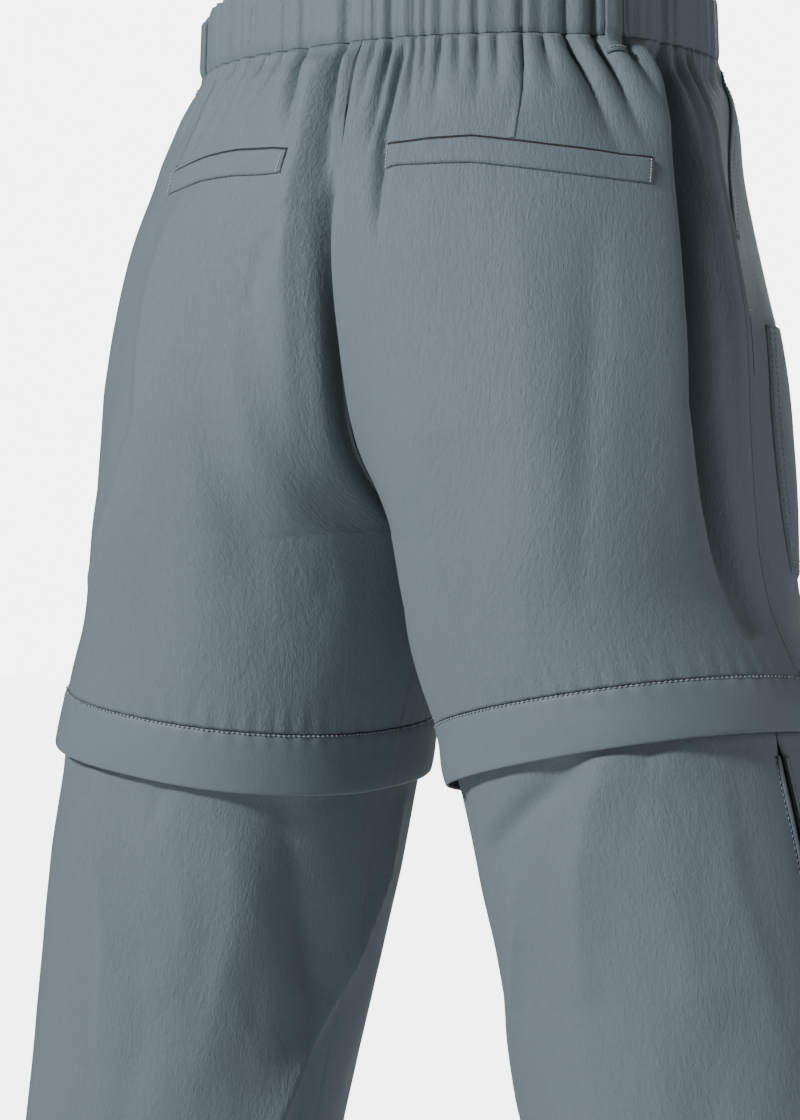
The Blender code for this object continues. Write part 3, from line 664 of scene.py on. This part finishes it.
def band_height(side, drop, u, metres):
    """Relief of the band: the creases run up through it, pinched at its two edges."""
    edge = min(-drop, BAND_HEIGHT + drop)
    pinch = 0.0011 * math.exp(-(edge / 0.0030) ** 2)
    small = np.sin(metres * 2 * math.pi / 0.0094 + 1.7 * np.sin(metres * 57.0 + 2.0 * side))
    gathered = 0.35 + 0.65 * soft_step(u, 0.10, 0.42)
    return gather_height(side, 0.0, u) * 0.80 + 0.0012 + 0.00055 * small * gathered - pinch


BAND_SPACING = 0.0023 * coarser
lap = LAP_END / 2 / FRONT_HALF
half_count = int(FRONT_HALF * 2 / BAND_SPACING)
band_ways = ((-1, np.linspace(lap, 0.0, 6)[:-1]), (1, np.linspace(0.0, 1.0, half_count)),
             (-1, np.linspace(1.0, lap + SEAM_GAP / 2 / FRONT_HALF, half_count)))
band_heights = np.r_[-0.0030, -0.0004, 0.0004, 0.0010, 0.0020, np.linspace(0.0038, 0.0362, 10),
                     0.0380, 0.0391, 0.0398]


def band_row(r):
    points, out, across = [], [], []
    run = 0.0
    for side, u in band_ways:
        tucked = BAND_TUCK if band_heights[r] < 0 else 0.0
        where, way, metres = cloth(side, -band_heights[r], u, band_height, tucked)
        points.append(where)
        out.append(way)
        across.append(run + np.abs(u - u[0]) * 2 * FRONT_HALF)
        run = across[-1][-1]
    return np.concatenate(points), np.concatenate(out), np.concatenate(across), -band_heights[r]


band_columns = sum(len(u) for side, u in band_ways) - 1
band = lay_grid("ruched_waistband", band_columns, len(band_heights) - 1, band_row, 0.0022, band_cloth,
                "waistband")
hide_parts("waistband")


SURVEY_STEPS = 560


def survey(side, drops, relief, lift=None):
    """Measures a face of the garment once; gives back how to find places on it, moved out by a lift."""
    places = np.linspace(0.0, 1.0, SURVEY_STEPS + 1)
    rows = [cloth(side, d, places, relief, lift(d) if lift else 0.0) for d in drops]
    points = np.stack([row[0] for row in rows])
    outs = np.stack([row[1] for row in rows])
    metres = np.stack([row[2] for row in rows])

    def find(drop, u, up=0.0):
        drop, u = np.atleast_1d(np.asarray(drop, float)), np.atleast_1d(np.asarray(u, float))
        r = np.clip(np.interp(drop, drops, np.arange(len(drops))), 0, len(drops) - 1.0001)
        c = np.clip((u % 1.0 if drops[0] > FORK else u) * SURVEY_STEPS, 0, SURVEY_STEPS - 0.0001)
        i, j = r.astype(int), c.astype(int)
        a, b = r - i, c - j
        found = []
        for table in (points, outs, metres[..., None]):
            low = table[i, j] * (1 - b)[:, None] + table[i, j + 1] * b[:, None]
            high = table[i + 1, j] * (1 - b)[:, None] + table[i + 1, j + 1] * b[:, None]
            found.append(low * (1 - a)[:, None] + high * a[:, None])
        out = found[1] / np.linalg.norm(found[1], axis=1, keepdims=True)
        return found[0] + out * np.reshape(up, (-1, 1)), out, found[2][:, 0]

    return find


def upper_or_band(side, drop, u, metres):
    return band_height(side, drop, u, metres) if drop < 0 else upper_height(side, drop, u, metres)


upper_drops = np.r_[-0.0400:-0.0010:14j, -0.0002, 0.0:KNEE:200j]
on_upper = {side: survey(side, upper_drops, upper_or_band) for label, side in SIDES}


def ribbon(name, find, first, second, lift, columns, rows, material, node, wall=0.0):
    """A strip between two edge lines, each of (drop, u) points; lift takes the shares across and along."""
    along = np.linspace(0.0, 1.0, rows + 1)
    across = np.linspace(0.0, 1.0, columns + 1)
    edges = []
    for line in (first, second):
        drops, places = np.array(line).T
        length = np.r_[0.0, np.cumsum(np.hypot(np.diff(drops), np.diff(places) * 0.6))]
        edges.append((np.interp(along * length[-1], length, drops),
                      np.interp(along * length[-1], length, places)))

    def placed(r):
        drop = edges[0][0][r] * (1 - across) + edges[1][0][r] * across
        u = edges[0][1][r] * (1 - across) + edges[1][1][r] * across
        up = np.array([lift(s, along[r]) for s in across])
        points, out, metres = find(drop, u, up)
        return points, out, metres, drop

    return lay_grid(name, columns, rows, placed, wall, material, node)


# Sewing thread: pale grey-blue polyester, a little shiny, in short locked stitches.  A whiter one
# makes the dense bars that hold the ends of pockets and slits.


def two_tone(name, scale, dark, light, roughness, detail=2.0, grain=0.5):
    """A material whose colour wanders between two tones, in noise on the object's own coordinates."""
    material, shader, start = new_material(name)
    place = start.out("ShaderNodeTexCoord", "Object")
    fleck = start.out("ShaderNodeTexNoise", "Fac", Vector=place, Scale=scale, Detail=detail,
                      Roughness=grain)
    tint = start.out("ShaderNodeMix", "Result", {"data_type": "RGBA"}, Factor=fleck,
                     _6=(*dark, 1.0), _7=(*light, 1.0))
    tint.into(shader, "Base Color")
    shader.inputs["Roughness"].default_value = roughness
    return material, shader, start, fleck


thread = two_tone("pale_thread", 900.0, (0.215, 0.255, 0.28), (0.40, 0.45, 0.48), 0.55)[0]
bar_thread = two_tone("white_bar_thread", 900.0, (0.50, 0.55, 0.57), (0.72, 0.76, 0.78), 0.55)[0]


def repeat(name, one, middles, ways, outs, sizes, material, node):
    """Many copies of one small form, each turned along its way and sized (along, across, up)."""
    way = ways / np.linalg.norm(ways, axis=1, keepdims=True)
    flank = np.cross(way, outs)
    flank /= np.linalg.norm(flank, axis=1, keepdims=True)
    rise = np.cross(flank, way)
    form = np.empty(len(one.vertices) * 3)
    one.vertices.foreach_get("co", form)
    form = form.reshape(-1, 3) * np.array(sizes)
    points = (middles[:, None, :] + form[None, :, 0, None] * way[:, None, :]
              + form[None, :, 1, None] * flank[:, None, :] + form[None, :, 2, None] * rise[:, None, :])
    shape = bmesh.new()
    for _ in middles:
        shape.from_mesh(one)
    mesh = mesh_of(name, shape)
    mesh.vertices.foreach_set("co", points.ravel())
    mesh.materials.append(material)
    mesh.update()
    piece = shown(name, mesh)
    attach(piece, "root")
    return piece


shape = bmesh.new()
bmesh.ops.create_uvsphere(shape, u_segments=6, v_segments=4, radius=1.0)
one_stitch = mesh_of("stitch", shape)
one_stitch.shade_smooth()


def walked(find, line, steps):
    """Close places along a line of (drop, u) points, with how many metres each is along it."""
    drops, places = np.array(line, float).T
    walk = np.linspace(0.0, len(line) - 1.0, steps * (len(line) - 1) + 1)
    d = np.interp(walk, np.arange(len(line)), drops)
    u = np.interp(walk, np.arange(len(line)), places)
    path = find(d, u)[0]
    return d, u, np.r_[0.0, np.cumsum(np.linalg.norm(np.diff(path, axis=0), axis=1))]


BAR = {"pitch": 0.0019, "length": 0.0015, "width": 0.0008}


def sew(name, find, line, node, pitch=0.0034, length=0.0024, width=0.00062, up=0.0004, yarn=thread):
    """A row of stitches along a line of (drop, u) points on a face of the garment."""
    d, u, run = walked(find, line, 60)
    count = max(int(run[-1] / pitch), 1)
    middle = (np.arange(count) + 0.5) * run[-1] / count
    tail, head = [find(np.interp(middle + e * length / 2, run, d),
                       np.interp(middle + e * length / 2, run, u), up) for e in (-1, 1)]
    return repeat(name, one_stitch, (tail[0] + head[0]) / 2, head[0] - tail[0], head[1],
                  (length / 2, width / 2, width / 2), yarn, node)


# Darts: one runs from the waist down to each back pocket, sewn inside and pressed flat, so that
# only the fine edge of its fold shows through the nylon.
DARTS = (("left", 1, ((0.008, 0.752), (0.036, 0.758), (0.0640, 0.765))),
         ("right", -1, ((0.008, 0.758), (0.036, 0.764), (0.0632, 0.772))))


def pressed_edge(name, side, line, width, tall, low, crest, top, rows, node):
    """A turned edge under the cloth: steep along its line, then sloping away over its width in u."""
    beside = [(d, u + width) for d, u in line]
    ribbon(name, on_upper[side], line, beside,
           lambda s, t: low + tall * (soft_step(s, -0.02, crest) * (1 - soft_step(s, top, 1.0))),
           10, rows, shell, node)


for label, side, line in DARTS:
    pressed_edge(f"dart_ridge_{label}", side, line, 0.010, 0.0006, 0.0001, 0.10, 0.10, 26, f"back_{label}")

# Side seams: from the waist to the knee the back panel's turned edge lies over the front's and is
# pressed to a low ridge, with no stitches showing.
for label, side in SIDES:
    seam_line = [(d, 0.4995) for d in np.linspace(0.004, 0.388, 25)]
    pressed_edge(f"side_seam_{label}", side, seam_line, 0.009, 0.0011, 0.0002, 0.14, 0.20, 150,
                 f"back_{label}")

# Back pocket welts: a folded strip of the nylon stands up from its lower seam and closes the
# pocket's mouth. A thin near-black strip of painted shade along its upper edge stands for the shadow in
# the slit, and a bar of stitches ends it each side.
WELT_EDGES = {
    "left": (((0.0690, 0.772), (0.0632, 0.835), (0.0610, 0.885), (0.0618, 0.930),
              (0.0635, 0.948)),
             ((0.0830, 0.775), (0.0780, 0.838), (0.0765, 0.885), (0.0775, 0.947))),
    "right": (((0.0640, 0.928), (0.0638, 0.906), (0.0626, 0.870), (0.0620, 0.818), (0.0650, 0.775),
               (0.0680, 0.733), (0.0745, 0.623)),
              ((0.0780, 0.931), (0.0765, 0.906), (0.0770, 0.818), (0.0800, 0.775), (0.0830, 0.733),
               (0.0900, 0.627))),
}
# Painted shade: a near-black material for thin strips that stand for the shadow inside pocket mouths and
# slits. It is not the colour of any cloth.
painted_slit_shade = two_tone("painted_pocket_shadow", 1400.0, (0.012, 0.014, 0.016), (0.030, 0.034, 0.038),
                       0.9)[0]


def welt_lift(s, t):
    """Rolled at the upper edge, flat across, and drawn in to the seam at the lower edge."""
    end = min(t, 1.0 - t)
    body = 0.0017 - 0.0006 * s
    roll = soft_step(s, -0.02, 0.10)
    foot = 1.0 - 0.85 * soft_step(s, 0.90, 1.0)
    return 0.0002 + body * roll * foot * soft_step(end, -0.002, 0.012)


# Lays a thin near-black strip of painted shade on the cloth between two edge lines, where a mouth or slit
# would be in shadow.
def painted_shade_strip(name, find, first, second, node, up=0.0005, rows=90):
    return ribbon(name, find, first, second, lambda s, t: up, 2, rows, painted_slit_shade, node)


for label, side in SIDES:
    top, bottom = WELT_EDGES[label]
    welt = ribbon(f"back_welt_strip_{label}", on_upper[side], top, bottom, welt_lift, 14, 110, shell,
                  f"back_welt_{label}", wall=0.0007)
    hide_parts(f"back_welt_{label}")
    above = [(d - 0.0011, u) for d, u in top]
    # A strip of painted shade along the welt's upper edge, for the shadow in the pocket's slit.
    painted_shade_strip(f"welt_slit_shade_{label}", on_upper[side], above, [(d + 0.0004, u) for d, u in top],
              f"back_welt_{label}", 0.0004)
    for end, name in ((0, "inner"), (-1, "outer")):
        (d_top, u_top), (d_low, u_low) = top[end], bottom[end]
        inset = 0.004 if (u_top < np.mean([u for d, u in top])) else -0.004
        sew(f"welt_bar_{label}_{name}", on_upper[side],
            ((d_top + 0.0005, u_top + inset), (d_low - 0.0005, u_low + inset)), f"back_welt_{label}",
            up=0.0021, yarn=bar_thread, **BAR)

# Hand pockets: the front's slanted mouth, faced with a folded strip and sewn down in two rows.
# A narrow near-black strip of painted shade along the strip's rear edge stands for the shadow inside the
# pocket.
HAND_REAR = ((0.0035, 0.374), (0.0300, 0.406), (0.0560, 0.440), (0.0830, 0.471), (0.1105, 0.4975))
HAND_FRONT = ((0.0060, 0.352), (0.0330, 0.385), (0.0600, 0.419), (0.0870, 0.450), (0.1140, 0.4770))


def facing_lift(s, t):
    end = min(t, 1.0 - t)
    rise = 0.0010 * soft_step(s, -0.02, 0.12) * (1.0 - 0.9 * soft_step(s, 0.85, 1.0))
    return 0.0003 + rise * soft_step(end, -0.01, 0.03)


for label, side in SIDES:
    facing = ribbon(f"hand_pocket_facing_{label}", on_upper[side], HAND_REAR, HAND_FRONT, facing_lift,
                    10, 70, shell, f"hand_pocket_{label}", wall=0.0005)
    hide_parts(f"hand_pocket_{label}")
    behind = [(d - 0.0004, u + 0.0028) for d, u in HAND_REAR]
    # Painted shade: a near-black strip for the shadow in the pocket's mouth.
    painted_shade_strip(f"hand_pocket_mouth_shade_{label}", on_upper[side], behind, HAND_REAR, f"hand_pocket_{label}",
              0.0005, 60)
    for number, share in (("one", 0.22), ("two", 0.78)):
        line = [(a[0] + (b[0] - a[0]) * share, a[1] + (b[1] - a[1]) * share)
                for a, b in zip(HAND_REAR, HAND_FRONT)]
        sew(f"hand_pocket_row_{label}_{number}", on_upper[side], line, f"hand_pocket_{label}",
            up=0.0013)

# Side slits: below each hand pocket a short opening in the side seam's ridge is drawn only as a
# narrow near-black strip of painted shade, standing for its shadowed inside, with a white bar of stitches
# at the top.
for label, side in SIDES:
    # Painted shade: a near-black strip for the shadow inside the seam's opening.
    painted_shade_strip(f"seam_slit_{label}", on_upper[side], ((0.162, 0.4960), (0.198, 0.4950)),
              ((0.162, 0.4985), (0.198, 0.4975)), f"front_{label}", 0.0007, 20)
    sew(f"seam_slit_bar_{label}", on_upper[side], ((0.1585, 0.4890), (0.1585, 0.5000)), f"front_{label}",
        up=0.0010, yarn=bar_thread, **BAR)

# Cargo pockets: a flat pouch on the outer thigh, sewn down round its edges in two rows and full in
# the middle, with its mouth open at the top and its lower edge doubled.
POUCH_REAR = ((0.165, 0.4500), (0.212, 0.4560), (0.245, 0.4540), (0.280, 0.4520), (0.3175, 0.4440))
POUCH_FRONT = ((0.165, 0.2000), (0.212, 0.2000), (0.245, 0.2000), (0.280, 0.2020), (0.3175, 0.2060))


def pouch_lift(s, t):
    edge = min(s, 1.0 - s)
    seam = soft_step(edge, -0.004, 0.020) * soft_step(1.0 - t, -0.01, 0.03)
    full = math.sin(math.pi * s) ** 0.6 * math.sin(math.pi * (0.06 + 0.94 * t)) ** 0.8
    return 0.0004 + (0.0010 * seam + 0.0034 * full)


for label, side in SIDES:
    pouch = ribbon(f"cargo_pouch_{label}", on_upper[side], POUCH_REAR, POUCH_FRONT, pouch_lift, 60, 72,
                   shell, f"cargo_pocket_{label}", wall=0.0010)
    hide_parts(f"cargo_pocket_{label}")
    for number, inset, up in (("one", 0.0040, 0.0020), ("two", 0.0140, 0.0030)):
        sew(f"cargo_rear_row_{label}_{number}", on_upper[side],
            [(d, u - inset) for d, u in POUCH_REAR], f"cargo_pocket_{label}", up=up)
    front_inside = [(d, u + 0.0045) for d, u in POUCH_FRONT]
    sew(f"cargo_front_row_{label}", on_upper[side], front_inside, f"cargo_pocket_{label}", up=0.0020)
    for number, drop, up in (("one", 0.3145, 0.0021), ("two", 0.3085, 0.0030)):
        sew(f"cargo_foot_row_{label}_{number}", on_upper[side],
            ((drop, 0.438), (drop, 0.325), (drop, 0.212)), f"cargo_pocket_{label}", up=up)

# Belt loops: narrow strips of darker nylon folded in three.  They stand over the band, tacked down
# at its top and just below the waist seam, two at the sides of the back and two in front.
LOOPS = (("left", 1, 0.642), ("right", -1, 0.642), ("front_left", 1, 0.220), ("front_right", -1, 0.220))
LOOP_HALF = 0.0130
LOOP_ENDS = (-0.0388, 0.0105)


def loop_lift(s, t):
    """Stands off between its two tacks; its edges roll in."""
    off = 0.0030 * (soft_step(t, 0.02, 0.10) * (1.0 - soft_step(t, 0.72, 0.90)))
    return 0.0016 + off - 0.0006 * (2 * s - 1) ** 4


loop_cloth = shell_cloth("loop_nylon", tuple(c * 0.80 for c in SHELL_COLOUR), 0.5)
for label, side, u in LOOPS:
    node = f"belt_loop_{label}"
    low, high = [[(drop, place) for drop in LOOP_ENDS] for place in (u - LOOP_HALF, u + LOOP_HALF)]
    loop = ribbon(f"loop_strip_{label}", on_upper[side], low, high, loop_lift, 8, 28, loop_cloth, node,
                  wall=0.0012)
    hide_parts(node)
    for number, drop in (("top", -0.0370), ("foot", 0.0080)):
        sew(f"loop_tack_{label}_{number}", on_upper[side], ((drop, u - 0.011), (drop, u + 0.011)),
            node, up=0.0022, **BAR)

# Fly stitching: one curved row on the left front panel, down from the waist seam to the middle.
# It holds the fly's facing, out of sight behind the nylon.
FLY_ROW = ((0.004, 0.078), (0.060, 0.074), (0.100, 0.066), (0.128, 0.046), (0.146, 0.012))
sew("fly_row", on_upper[1], FLY_ROW, "front_left", up=0.0003)

# Knee flaps: a doubled strip of smoother nylon all round each knee, sewn in at its upper edge with
# a row of pale stitches, hanging free and a little flared over the zip that parts the leg.
FLAP_CLOTH = 0.0020
FLAP_WAVE = 0.0019
FLAP_PUCKER = 0.00035
flap_cloth = shell_cloth("flap_nylon", tuple(c * 1.03 for c in SHELL_COLOUR), 0.28, 0.56)
FLAP_ROWS = (
    # below the seam, out from the leg
    (0.0002, -0.0004), (0.0008, 0.0003), (0.0018, 0.0009), (0.0032, 0.0013), (0.0055, 0.0017),
    (0.0085, 0.0020), (0.0120, 0.0024), (0.0155, 0.0029), (0.0190, 0.0033), (0.0225, 0.0036),
    (0.0260, 0.0039), (0.0295, 0.0041), (0.0325, 0.0042), (0.0345, 0.0042), (0.0355, 0.0040),
    (0.0360, 0.0036),
)


def flap_height(side, drop, u, metres):
    """Slow waves that grow towards the free edge, and faint puckers under the stitches."""
    down = drop - KNEE
    wave = FLAP_WAVE * swell(metres / 0.075 + down * 14.0, drop / 0.03, 4.0 + side)
    wave = wave * soft_step(down, 0.003, 0.034) + 0.0004 * ripple(metres, drop, 2.0 + side)
    wave = wave * inner_fade(u)
    return wave + FLAP_PUCKER * pucker(side, metres) * (1 - soft_step(down, 0.001, 0.012))


def round_knee(name, side, columns, drops, lifts, wall, material, node):
    """A strip all round a knee, one ring of it at each drop, as far out from the leg as its lift."""
    u = np.linspace(0.0, 1.0, columns + 1)

    def placed(r):
        return (*cloth(side, drops[r], u, flap_height, lifts[r]), drops[r])

    return lay_grid(name, columns, len(drops) - 1, placed, wall, material, node)


FLAP_SPACING = 0.0025 * coarser
FLAP_ROUND = 0.740
flap_drops = [KNEE + down for down, out in FLAP_ROWS]
flap_lifts = [out for down, out in FLAP_ROWS]
for label, side in SIDES:
    flap = round_knee(f"knee_flap_strip_{label}", side, int(FLAP_ROUND / FLAP_SPACING), flap_drops,
                      flap_lifts, 0.0016, flap_cloth, f"knee_flap_{label}")
    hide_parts(f"knee_flap_{label}")
    on_flap = survey(side, flap_drops, flap_height, lambda d: np.interp(d, flap_drops, flap_lifts))
    ring_line = [(KNEE + 0.0006, u) for u in np.linspace(0.002, 0.998, 25)]
    sew(f"knee_row_{label}", on_flap, ring_line, f"knee_flap_{label}", pitch=0.0031, length=0.0020,
        width=0.0011, up=0.0008)

# Knee zips: dark woven tape with a coil of fine teeth, all round the leg and hidden under each flap.
# The tape is sewn in with the flap, and the lower leg hangs from it.
tape, shader, start = new_material("zip_tape")
place = start.out("ShaderNodeUVMap", "UV", {"uv_map": "cloth"})
rib = start.out("ShaderNodeTexWave", "Fac", {"wave_type": "BANDS", "bands_direction": "X"}, Vector=place,
                Scale=400.0, Distortion=0.4)
fleck = start.out("ShaderNodeTexNoise", "Fac", Vector=place, Scale=2600.0, Detail=2.0)
tint = start.out("ShaderNodeMix", "Result", {"data_type": "RGBA"}, Factor=rib * 0.6 + fleck * 0.4,
                 _6=(0.030, 0.036, 0.041, 1.0), _7=(0.062, 0.072, 0.080, 1.0))
tint.into(shader, "Base Color")
ribs = start.out("ShaderNodeBump", "Normal", Strength=0.6, Distance=0.0002, Height=rib)
ribs.into(shader, "Normal")
shader.inputs["Roughness"].default_value = 0.8

coil = two_tone("zip_coil", 500.0, (0.040, 0.046, 0.052), (0.085, 0.095, 0.104), 0.38)[0]
shape = bmesh.new()
bmesh.ops.create_cube(shape, size=1.0)
one_tooth = mesh_of("tooth", shape)


def teeth(name, find, line, node, pitch=0.0016, wide=0.0042, tall=0.0010, up=0.0004):
    """A coil of teeth along a line: one small bar across it at every pitch."""
    d, u, run = walked(find, line, 80)
    count = int(run[-1] / pitch)
    at = (np.arange(count) + 0.5) * pitch
    here, out, metres = find(np.interp(at, run, d), np.interp(at, run, u), up)
    ahead = find(np.interp(at + 0.001, run, d), np.interp(at + 0.001, run, u), up)[0]
    return repeat(name, one_tooth, here, ahead - here, out, (pitch * 0.62, wide, tall), coil, node)


TAPE_COLUMNS = 148
TAPE_WALL = 0.0008
TAPE_LIFT = -FLAP_CLOTH - 0.0004
tape_drops = np.linspace(KNEE - 0.0058, KNEE + 0.0178, 11)
for label, side in SIDES:
    knee_tape = round_knee(f"knee_zip_tape_{label}", side, TAPE_COLUMNS, tape_drops,
                           [TAPE_LIFT] * len(tape_drops), TAPE_WALL, tape, f"knee_zip_{label}")
    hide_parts(f"knee_zip_{label}")
    on_tape = survey(side, tape_drops, flap_height, lambda d: TAPE_LIFT)
    teeth(f"knee_zip_teeth_{label}", on_tape, [(KNEE + 0.0075, u) for u in np.linspace(0.003, 0.997, 13)],
          f"knee_zip_{label}")

# Lower legs: a wide front and back panel each, hung from the knee zip, with the long slanting
# folds of a step.  They part over the side zip and are hemmed at the foot.
LOWER_FOLDS = {
    1: (
        (0.0065, 0.0080, 0.0240, 1.25, ((0.425, 0.690), (0.460, 0.702), (0.530, 0.738), (0.620, 0.742))),
        (-0.0085, 0.0170, 0.0200, 1.7, ((0.428, 0.885), (0.500, 0.925), (0.560, 0.965), (0.700, 0.980))),
        (0.0100, 0.0130, 0.0080, 1.3, ((0.440, 1.040), (0.492, 1.025), (0.560, 0.985), (0.630, 0.940),
                                       (0.780, 0.890))),
        (-0.0024, 0.0140, 0.0140, 2.0, ((0.560, 0.800), (0.640, 0.780), (0.740, 0.800))),
        (0.0024, 0.0100, 0.0160, 1.8, ((0.450, 0.850), (0.520, 0.862), (0.620, 0.850))),
        (-0.0022, 0.0070, 0.0070, 1.7, ((0.412, 0.780), (0.440, 0.776), (0.465, 0.770))),
        (0.0050, 0.0240, 0.0240, 2.0, ((0.450, 0.300), (0.600, 0.260), (0.760, 0.200))),
        (-0.0060, 0.0200, 0.0200, 2.0, ((0.840, 0.350), (0.880, 0.240), (0.930, 0.150))),
        (-0.0050, 0.0200, 0.0200, 2.0, ((0.860, 0.880), (0.890, 0.790), (0.930, 0.680))),
    ),
    -1: (
        (-0.0060, 0.0200, 0.0200, 2.0, ((0.425, 0.730), (0.445, 0.750), (0.470, 0.828), (0.500, 0.850))),
        (0.0055, 0.0180, 0.0140, 1.6, ((0.428, 0.700), (0.490, 0.745), (0.560, 0.770))),
        (0.0065, 0.0100, 0.0190, 1.3, ((0.480, 0.815), (0.520, 0.830), (0.610, 0.910), (0.700, 0.930))),
        (-0.0050, 0.0260, 0.0260, 2.0, ((0.560, 0.640), (0.680, 0.710), (0.800, 0.780))),
        (-0.0022, 0.0080, 0.0070, 1.7, ((0.412, 0.650), (0.428, 0.664), (0.446, 0.670))),
        (-0.0026, 0.0070, 0.0070, 1.7, ((0.412, 0.900), (0.440, 0.893), (0.470, 0.880))),
        (0.0016, 0.0070, 0.0100, 1.8, ((0.440, 0.610), (0.500, 0.620), (0.600, 0.600))),
        (0.0018, 0.0120, 0.0140, 1.8, ((0.560, 0.860), (0.650, 0.800), (0.740, 0.740))),
        (0.0050, 0.0240, 0.0240, 2.0, ((0.450, 0.280), (0.600, 0.240), (0.780, 0.180))),
        (-0.0060, 0.0200, 0.0200, 2.0, ((0.850, 0.380), (0.890, 0.270), (0.920, 0.160))),
        (-0.0050, 0.0200, 0.0200, 2.0, ((0.850, 0.900), (0.890, 0.800), (0.940, 0.700))),
    ),
}


def lower_lift(drop):
    """The leg passes inside the flap and the tape, then comes out to the plain form."""
    return -(FLAP_CLOTH + SEAM_GAP) * (1 - soft_step(drop, 0.43, 0.50))


def slit(drop):
    """Half the width of the opening over the side zip."""
    return (SEAM_GAP / 2 + 0.0023 * soft_step(drop, 0.430, 0.446)
            + 0.0030 * soft_step(drop, 0.90, 0.945))


LOWER_RIPPLE = 0.0016


def lower_height(side, drop, u, metres):
    from_knee = soft_step(drop, KNEE + 0.018, KNEE + 0.046)
    height = fold_height(drop, u, metres, LOWER_FOLDS[side]) * from_knee
    return height + LOWER_RIPPLE * ripple(metres, drop, 7.0 + side) * from_knee * inner_fade(u)


SIDE_ZIP_U = 0.55
LOWER_TOP = KNEE + 0.0183
LOWER_SPACING = 0.0030 * coarser
FRONT_COARSER = 1.3
HEM_ROW = HEM - 0.020
on_lower = {}
for label, side in SIDES:
    drops = np.linspace(LOWER_TOP, HEM, int((HEM - LOWER_TOP) / LOWER_SPACING))
    back = panel(f"lower_back_panel_{label}", side, SIDE_ZIP_U, 1.0, LOWER_SPACING, drops, lower_height,
                 f"lower_back_{label}", ends=lambda d: (slit(d), 0.0001), lift=lower_lift)
    drops = np.linspace(LOWER_TOP, HEM, int((HEM - LOWER_TOP) / LOWER_SPACING / FRONT_COARSER))
    front = panel(f"lower_front_panel_{label}", side, 0.0, SIDE_ZIP_U, LOWER_SPACING * FRONT_COARSER,
                  drops, lower_height, f"lower_front_{label}", ends=lambda d: (0.0001, slit(d)),
                  lift=lower_lift)
    on_lower[side] = survey(side, np.linspace(LOWER_TOP, HEM, 230), lower_height, lower_lift)
    for number, places in (("back", (0.565, 0.780, 0.998)), ("front", (0.002, 0.270, 0.535))):
        sew(f"hem_row_{label}_{number}", on_lower[side], [(HEM_ROW, u) for u in places],
            f"lower_{number}_{label}", up=0.0003)

# Side zips: dark tape and teeth behind the long slit at the outer side of each lower leg.  The two
# edges of the nylon are turned in to rolled lips and sewn down beside them.
SIDE_ZIP_ROWS = 119
SIDE_ZIP_COLUMNS = 8
ZIP_TAPE_HALF = 0.011
SIDE_TAPE_DEPTH = 0.0026
LIP_WIDTH = 0.0032
zip_drops = np.linspace(0.446, HEM - 0.004, SIDE_ZIP_ROWS + 1)
zip_across = np.linspace(-ZIP_TAPE_HALF, ZIP_TAPE_HALF, SIDE_ZIP_COLUMNS + 1)
lip_drops = np.linspace(0.4425, HEM - 0.001, 24)
for label, side in SIDES:
    def side_tape_row(r):
        drop = zip_drops[r]
        u = SIDE_ZIP_U + zip_across / metres_round(drop)
        return (*cloth(side, drop, u, lower_height, lower_lift(drop) - SIDE_TAPE_DEPTH), drop)

    side_tape = lay_grid(f"side_zip_tape_{label}", SIDE_ZIP_COLUMNS, SIDE_ZIP_ROWS, side_tape_row,
                         TAPE_WALL, tape, f"side_zip_{label}")
    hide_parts(f"side_zip_{label}")
    teeth(f"side_zip_teeth_{label}", on_lower[side],
          [(d, SIDE_ZIP_U) for d in np.linspace(0.449, 0.956, 9)], f"side_zip_{label}", up=-0.0021)
    for number, way in (("front", -1), ("back", 1)):
        edges = []
        for width in (0.0, LIP_WIDTH):
            edges.append([(d, SIDE_ZIP_U + way * (slit(d) - 0.0004 + width)
                           / metres_round(d)) for d in lip_drops])
        ribbon(f"side_zip_lip_{label}_{number}", on_lower[side], edges[0], edges[1],
               lambda s, t: 0.0002 + 0.0011 * math.sin(math.pi * (0.12 + 0.80 * s)), 6, 200, shell,
               f"lower_{number}_{label}", wall=0.0005)
        seam = [(a[0], a[1] + (b[1] - a[1]) * 1.25) for a, b in zip(edges[0], edges[1])]
        sew(f"side_zip_row_{label}_{number}", on_lower[side], seam, f"lower_{number}_{label}",
            up=0.0003)

# Hard parts: each side zip's cast slider and its pull tab, in dark lacquered metal worn paler at
# places, and the waist button of dark resin, sewn to the front lap.
lacquer, shader, start, scuff = two_tone("dark_lacquered_metal", 260.0, (0.030, 0.034, 0.038),
                                         (0.080, 0.088, 0.096), 0.4, detail=4.0, grain=0.7)
(scuff * 0.35 + 0.22).into(shader, "Roughness")
shader.inputs["Metallic"].default_value = 0.55

resin = two_tone("dark_resin", 180.0, (0.040, 0.046, 0.051), (0.070, 0.078, 0.086), 0.33, detail=3.0)[0]
FINISHES = (("side_slider_left", lacquer), ("side_slider_right", lacquer), ("pull_tab_left", lacquer),
            ("pull_tab_right", lacquer), ("waist_button", resin))
for node, finish in FINISHES:
    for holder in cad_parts[node].material_slots:
        holder.material = finish
